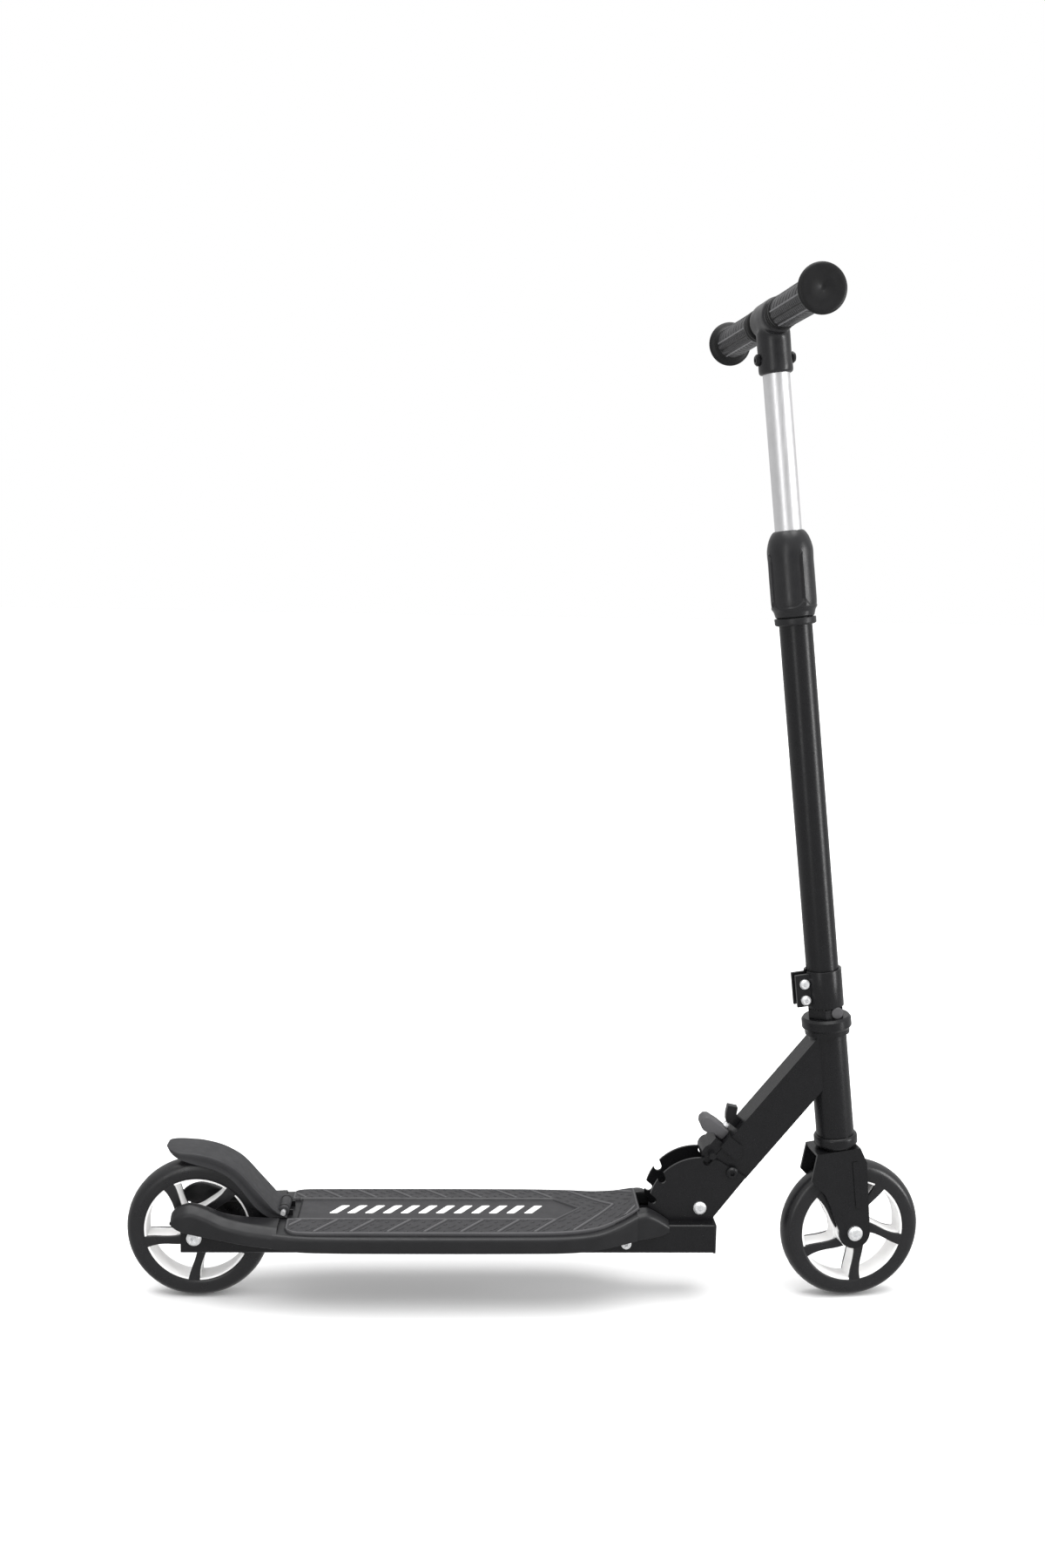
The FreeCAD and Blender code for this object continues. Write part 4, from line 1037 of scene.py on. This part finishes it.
def sleeve_profile(s):
    """Plain radius of the sleeve at a distance along the column."""
    marks = (
        (632.0, 17.6), (633.0, 18.8), (635.0, 19.4), (638.5, 20.4), (641.5, 22.2), (645.0, 23.0),
        (652.0, 23.2), (688.0, 23.0), (697.0, 22.3), (703.0, 21.2), (708.0, 19.6), (711.5, 17.9),
        (714.0, 16.2), (715.6, 14.6), (716.0, 13.6),
    )
    return along(marks, s, 1)


def sleeve_radius(angle_deg, s):
    """Domed grip with four long scallops between thin fins."""
    radius = sleeve_profile(s)
    sector = ((angle_deg - FIN_DEG) % 90.0) / 45.0 - 1
    across = (1 - abs(sector)) * math.radians(45) * SLEEVE_R
    low = smooth_step((s - SCALLOP_LOW - 9.0 * sector ** 4) / 2.0)
    high = smooth_step((SCALLOP_HIGH - s) / 14.0)
    dish = low * high * smooth_step((across - 0.9) / 0.8)
    radius -= SCALLOP_DEPTH * dish * (0.75 + 0.25 * abs(sector))
    fin = smooth_step((0.95 - across) / 0.5) * smooth_step((s - 642.5) / 3.0)
    fin *= smooth_step((696.0 - s) / 3.0)
    return max(radius, radius + (FIN_R - radius) * fin)


def build_sleeve():
    """Closed skin of the twist sleeve; both tubes run through its ends."""
    rows = []
    for s in spaced(632, 646, 30) + spaced(647, 694, 40) + spaced(695, 716, 34):
        rows.append((s, [
            sleeve_radius(i * 360 / SLEEVE_STEPS, s) for i in range(SLEEVE_STEPS)
        ]))
    data = skin_rows(rows, SLEEVE_STEPS, "z")
    piece_from(
        "twist_sleeve_moulded", data, COLUMN, "height_lock", slot_of_node("twist_sleeve"),
        ["twist_sleeve"], look=LOOKS["satin"], sharp_deg=38,
    )


build_sleeve()


def build_locknut_button():
    """Round face of the pinch screw in the headset locknut."""
    profile = [
        (0, -1.2), (4.6, -1.2), (5.6, -0.9), (6.0, -0.2), (6.0, 1.6), (5.4, 2.4), (0, 2.4),
    ]
    verts, faces = lathe_data(profile, "y", 48)
    across, front, height = 6.2, -17.6, 233.6
    verts = [(x + across, y + front, z + height) for x, y, z in verts]
    piece_from(
        "locknut_button", (verts, faces), COLUMN, "steering", "grey_plastic",
        look=LOOKS["grey_plastic"],
    )


build_locknut_button()

# ------------------------------------------------------------------ CAD nodes with broken corners
for softened, width in (
    ("column_ring", 0.6), ("clamp_collar", 0.35), ("lower_headset_cup", 0.5),
    ("lock_knob", 1.6), ("spring_tab", 0.4), ("rail_front_plug", 0.6),
):
    rounded_node(softened, width)


# ------------------------------------------------------------------ floor, light and camera
def build_stage():
    """Pale floor that reflections do not see."""
    mesh = bpy.data.meshes.new("floor")
    mesh.from_pydata([(-30, -30, 0), (30, -30, 0), (30, 30, 0), (-30, 30, 0)], [], [(0, 1, 2, 3)])
    floor = bpy.data.objects.new("floor", mesh)
    bpy.context.scene.collection.objects.link(floor)
    look = Look("floor_paper", (0.93, 0.93, 0.93), 0.85, specular=0.1)
    look.vary_color(look.noise(3.0), 0.004)
    mesh.materials.append(look.material)
    floor.visible_glossy = False


def area_light(name, place, target, size, power):
    """Rectangular light that faces a point."""
    data = bpy.data.lights.new(name, "AREA")
    data.shape = "RECTANGLE"
    data.size, data.size_y = size
    data.energy = power
    light = bpy.data.objects.new(name, data)
    bpy.context.scene.collection.objects.link(light)
    light.location = place
    light.rotation_mode = "QUATERNION"
    light.rotation_quaternion = (Vector(target) - Vector(place)).to_track_quat("-Z", "Y")


def build_world():
    """White to the eye; for light, a bright sweep behind and above and a dim room in front."""
    world = bpy.data.worlds.new("studio")
    bpy.context.scene.world = world
    world.use_nodes = True
    tree = world.node_tree
    seen = tree.nodes["Background"]
    seen.inputs["Color"].default_value = (1, 1, 1, 1)
    room = tree.nodes.new("ShaderNodeBackground")
    room.inputs["Color"].default_value = (1, 1, 1, 1)
    direction = tree.nodes.new("ShaderNodeTexCoord")
    split = tree.nodes.new("ShaderNodeSeparateXYZ")
    tree.links.new(direction.outputs["Generated"], split.inputs["Vector"])
    shades = []
    for axis, start, low, high in (("Y", -0.5, 0.48, 0.62), ("Z", 0.1, 0.0, 0.40)):
        span = tree.nodes.new("ShaderNodeMapRange")
        span.interpolation_type = "SMOOTHSTEP"
        span.inputs["From Min"].default_value = start
        span.inputs["From Max"].default_value = 0.7
        span.inputs["To Min"].default_value = low
        span.inputs["To Max"].default_value = high
        tree.links.new(split.outputs[axis], span.inputs["Value"])
        shades.append(span.outputs["Result"])
    total = tree.nodes.new("ShaderNodeMath")
    tree.links.new(shades[0], total.inputs[0])
    tree.links.new(shades[1], total.inputs[1])
    tree.links.new(total.outputs["Value"], room.inputs["Strength"])
    ray = tree.nodes.new("ShaderNodeLightPath")
    mix = tree.nodes.new("ShaderNodeMixShader")
    tree.links.new(ray.outputs["Is Camera Ray"], mix.inputs["Fac"])
    tree.links.new(room.outputs["Background"], mix.inputs[1])
    tree.links.new(seen.outputs["Background"], mix.inputs[2])
    tree.links.new(mix.outputs["Shader"], tree.nodes["World Output"].inputs["Surface"])


def build_light():
    """Soft overhead sun and a box light on each side."""
    data = bpy.data.lights.new("overhead", "SUN")
    data.energy = 2.85
    data.angle = math.radians(58)
    sun = bpy.data.objects.new("overhead", data)
    bpy.context.scene.collection.objects.link(sun)
    sun.rotation_mode = "QUATERNION"
    sun.rotation_quaternion = Vector((0.03, 0.13, -1)).to_track_quat("-Z", "Y")
    target = (0.3, 0, 0.6)
    area_light("left_box", (-1.0, -2.0, 0.8), target, (0.55, 1.8), 9)
    area_light("right_box", (2.5, -1.15, 0.8), target, (0.6, 1.8), 40)


def build_camera():
    """Camera at the angle of the reference view."""
    place = (-0.0723, -1.45965, 0.7280)
    yaw, pitch, roll = 0.0407, 0.1343, 0.0186
    forward = Vector((
        math.sin(yaw) * math.cos(pitch), math.cos(yaw) * math.cos(pitch), -math.sin(pitch)
    ))
    right = Vector((math.cos(yaw), -math.sin(yaw), 0))
    up = right.cross(forward)
    right_rolled = math.cos(roll) * right + math.sin(roll) * up
    up_rolled = -math.sin(roll) * right + math.cos(roll) * up
    data = bpy.data.cameras.new("camera")
    data.sensor_width = 36.0
    data.lens = 34.274
    data.clip_start = 0.01
    data.clip_end = 100.0
    camera = bpy.data.objects.new("camera", data)
    bpy.context.scene.collection.objects.link(camera)
    turn = Matrix((right_rolled, up_rolled, -forward)).transposed().to_4x4()
    camera.matrix_world = Matrix.Translation(place) @ turn
    bpy.context.scene.camera = camera
    bpy.context.scene.view_settings.view_transform = "Standard"


build_stage()
build_world()
build_light()
build_camera()
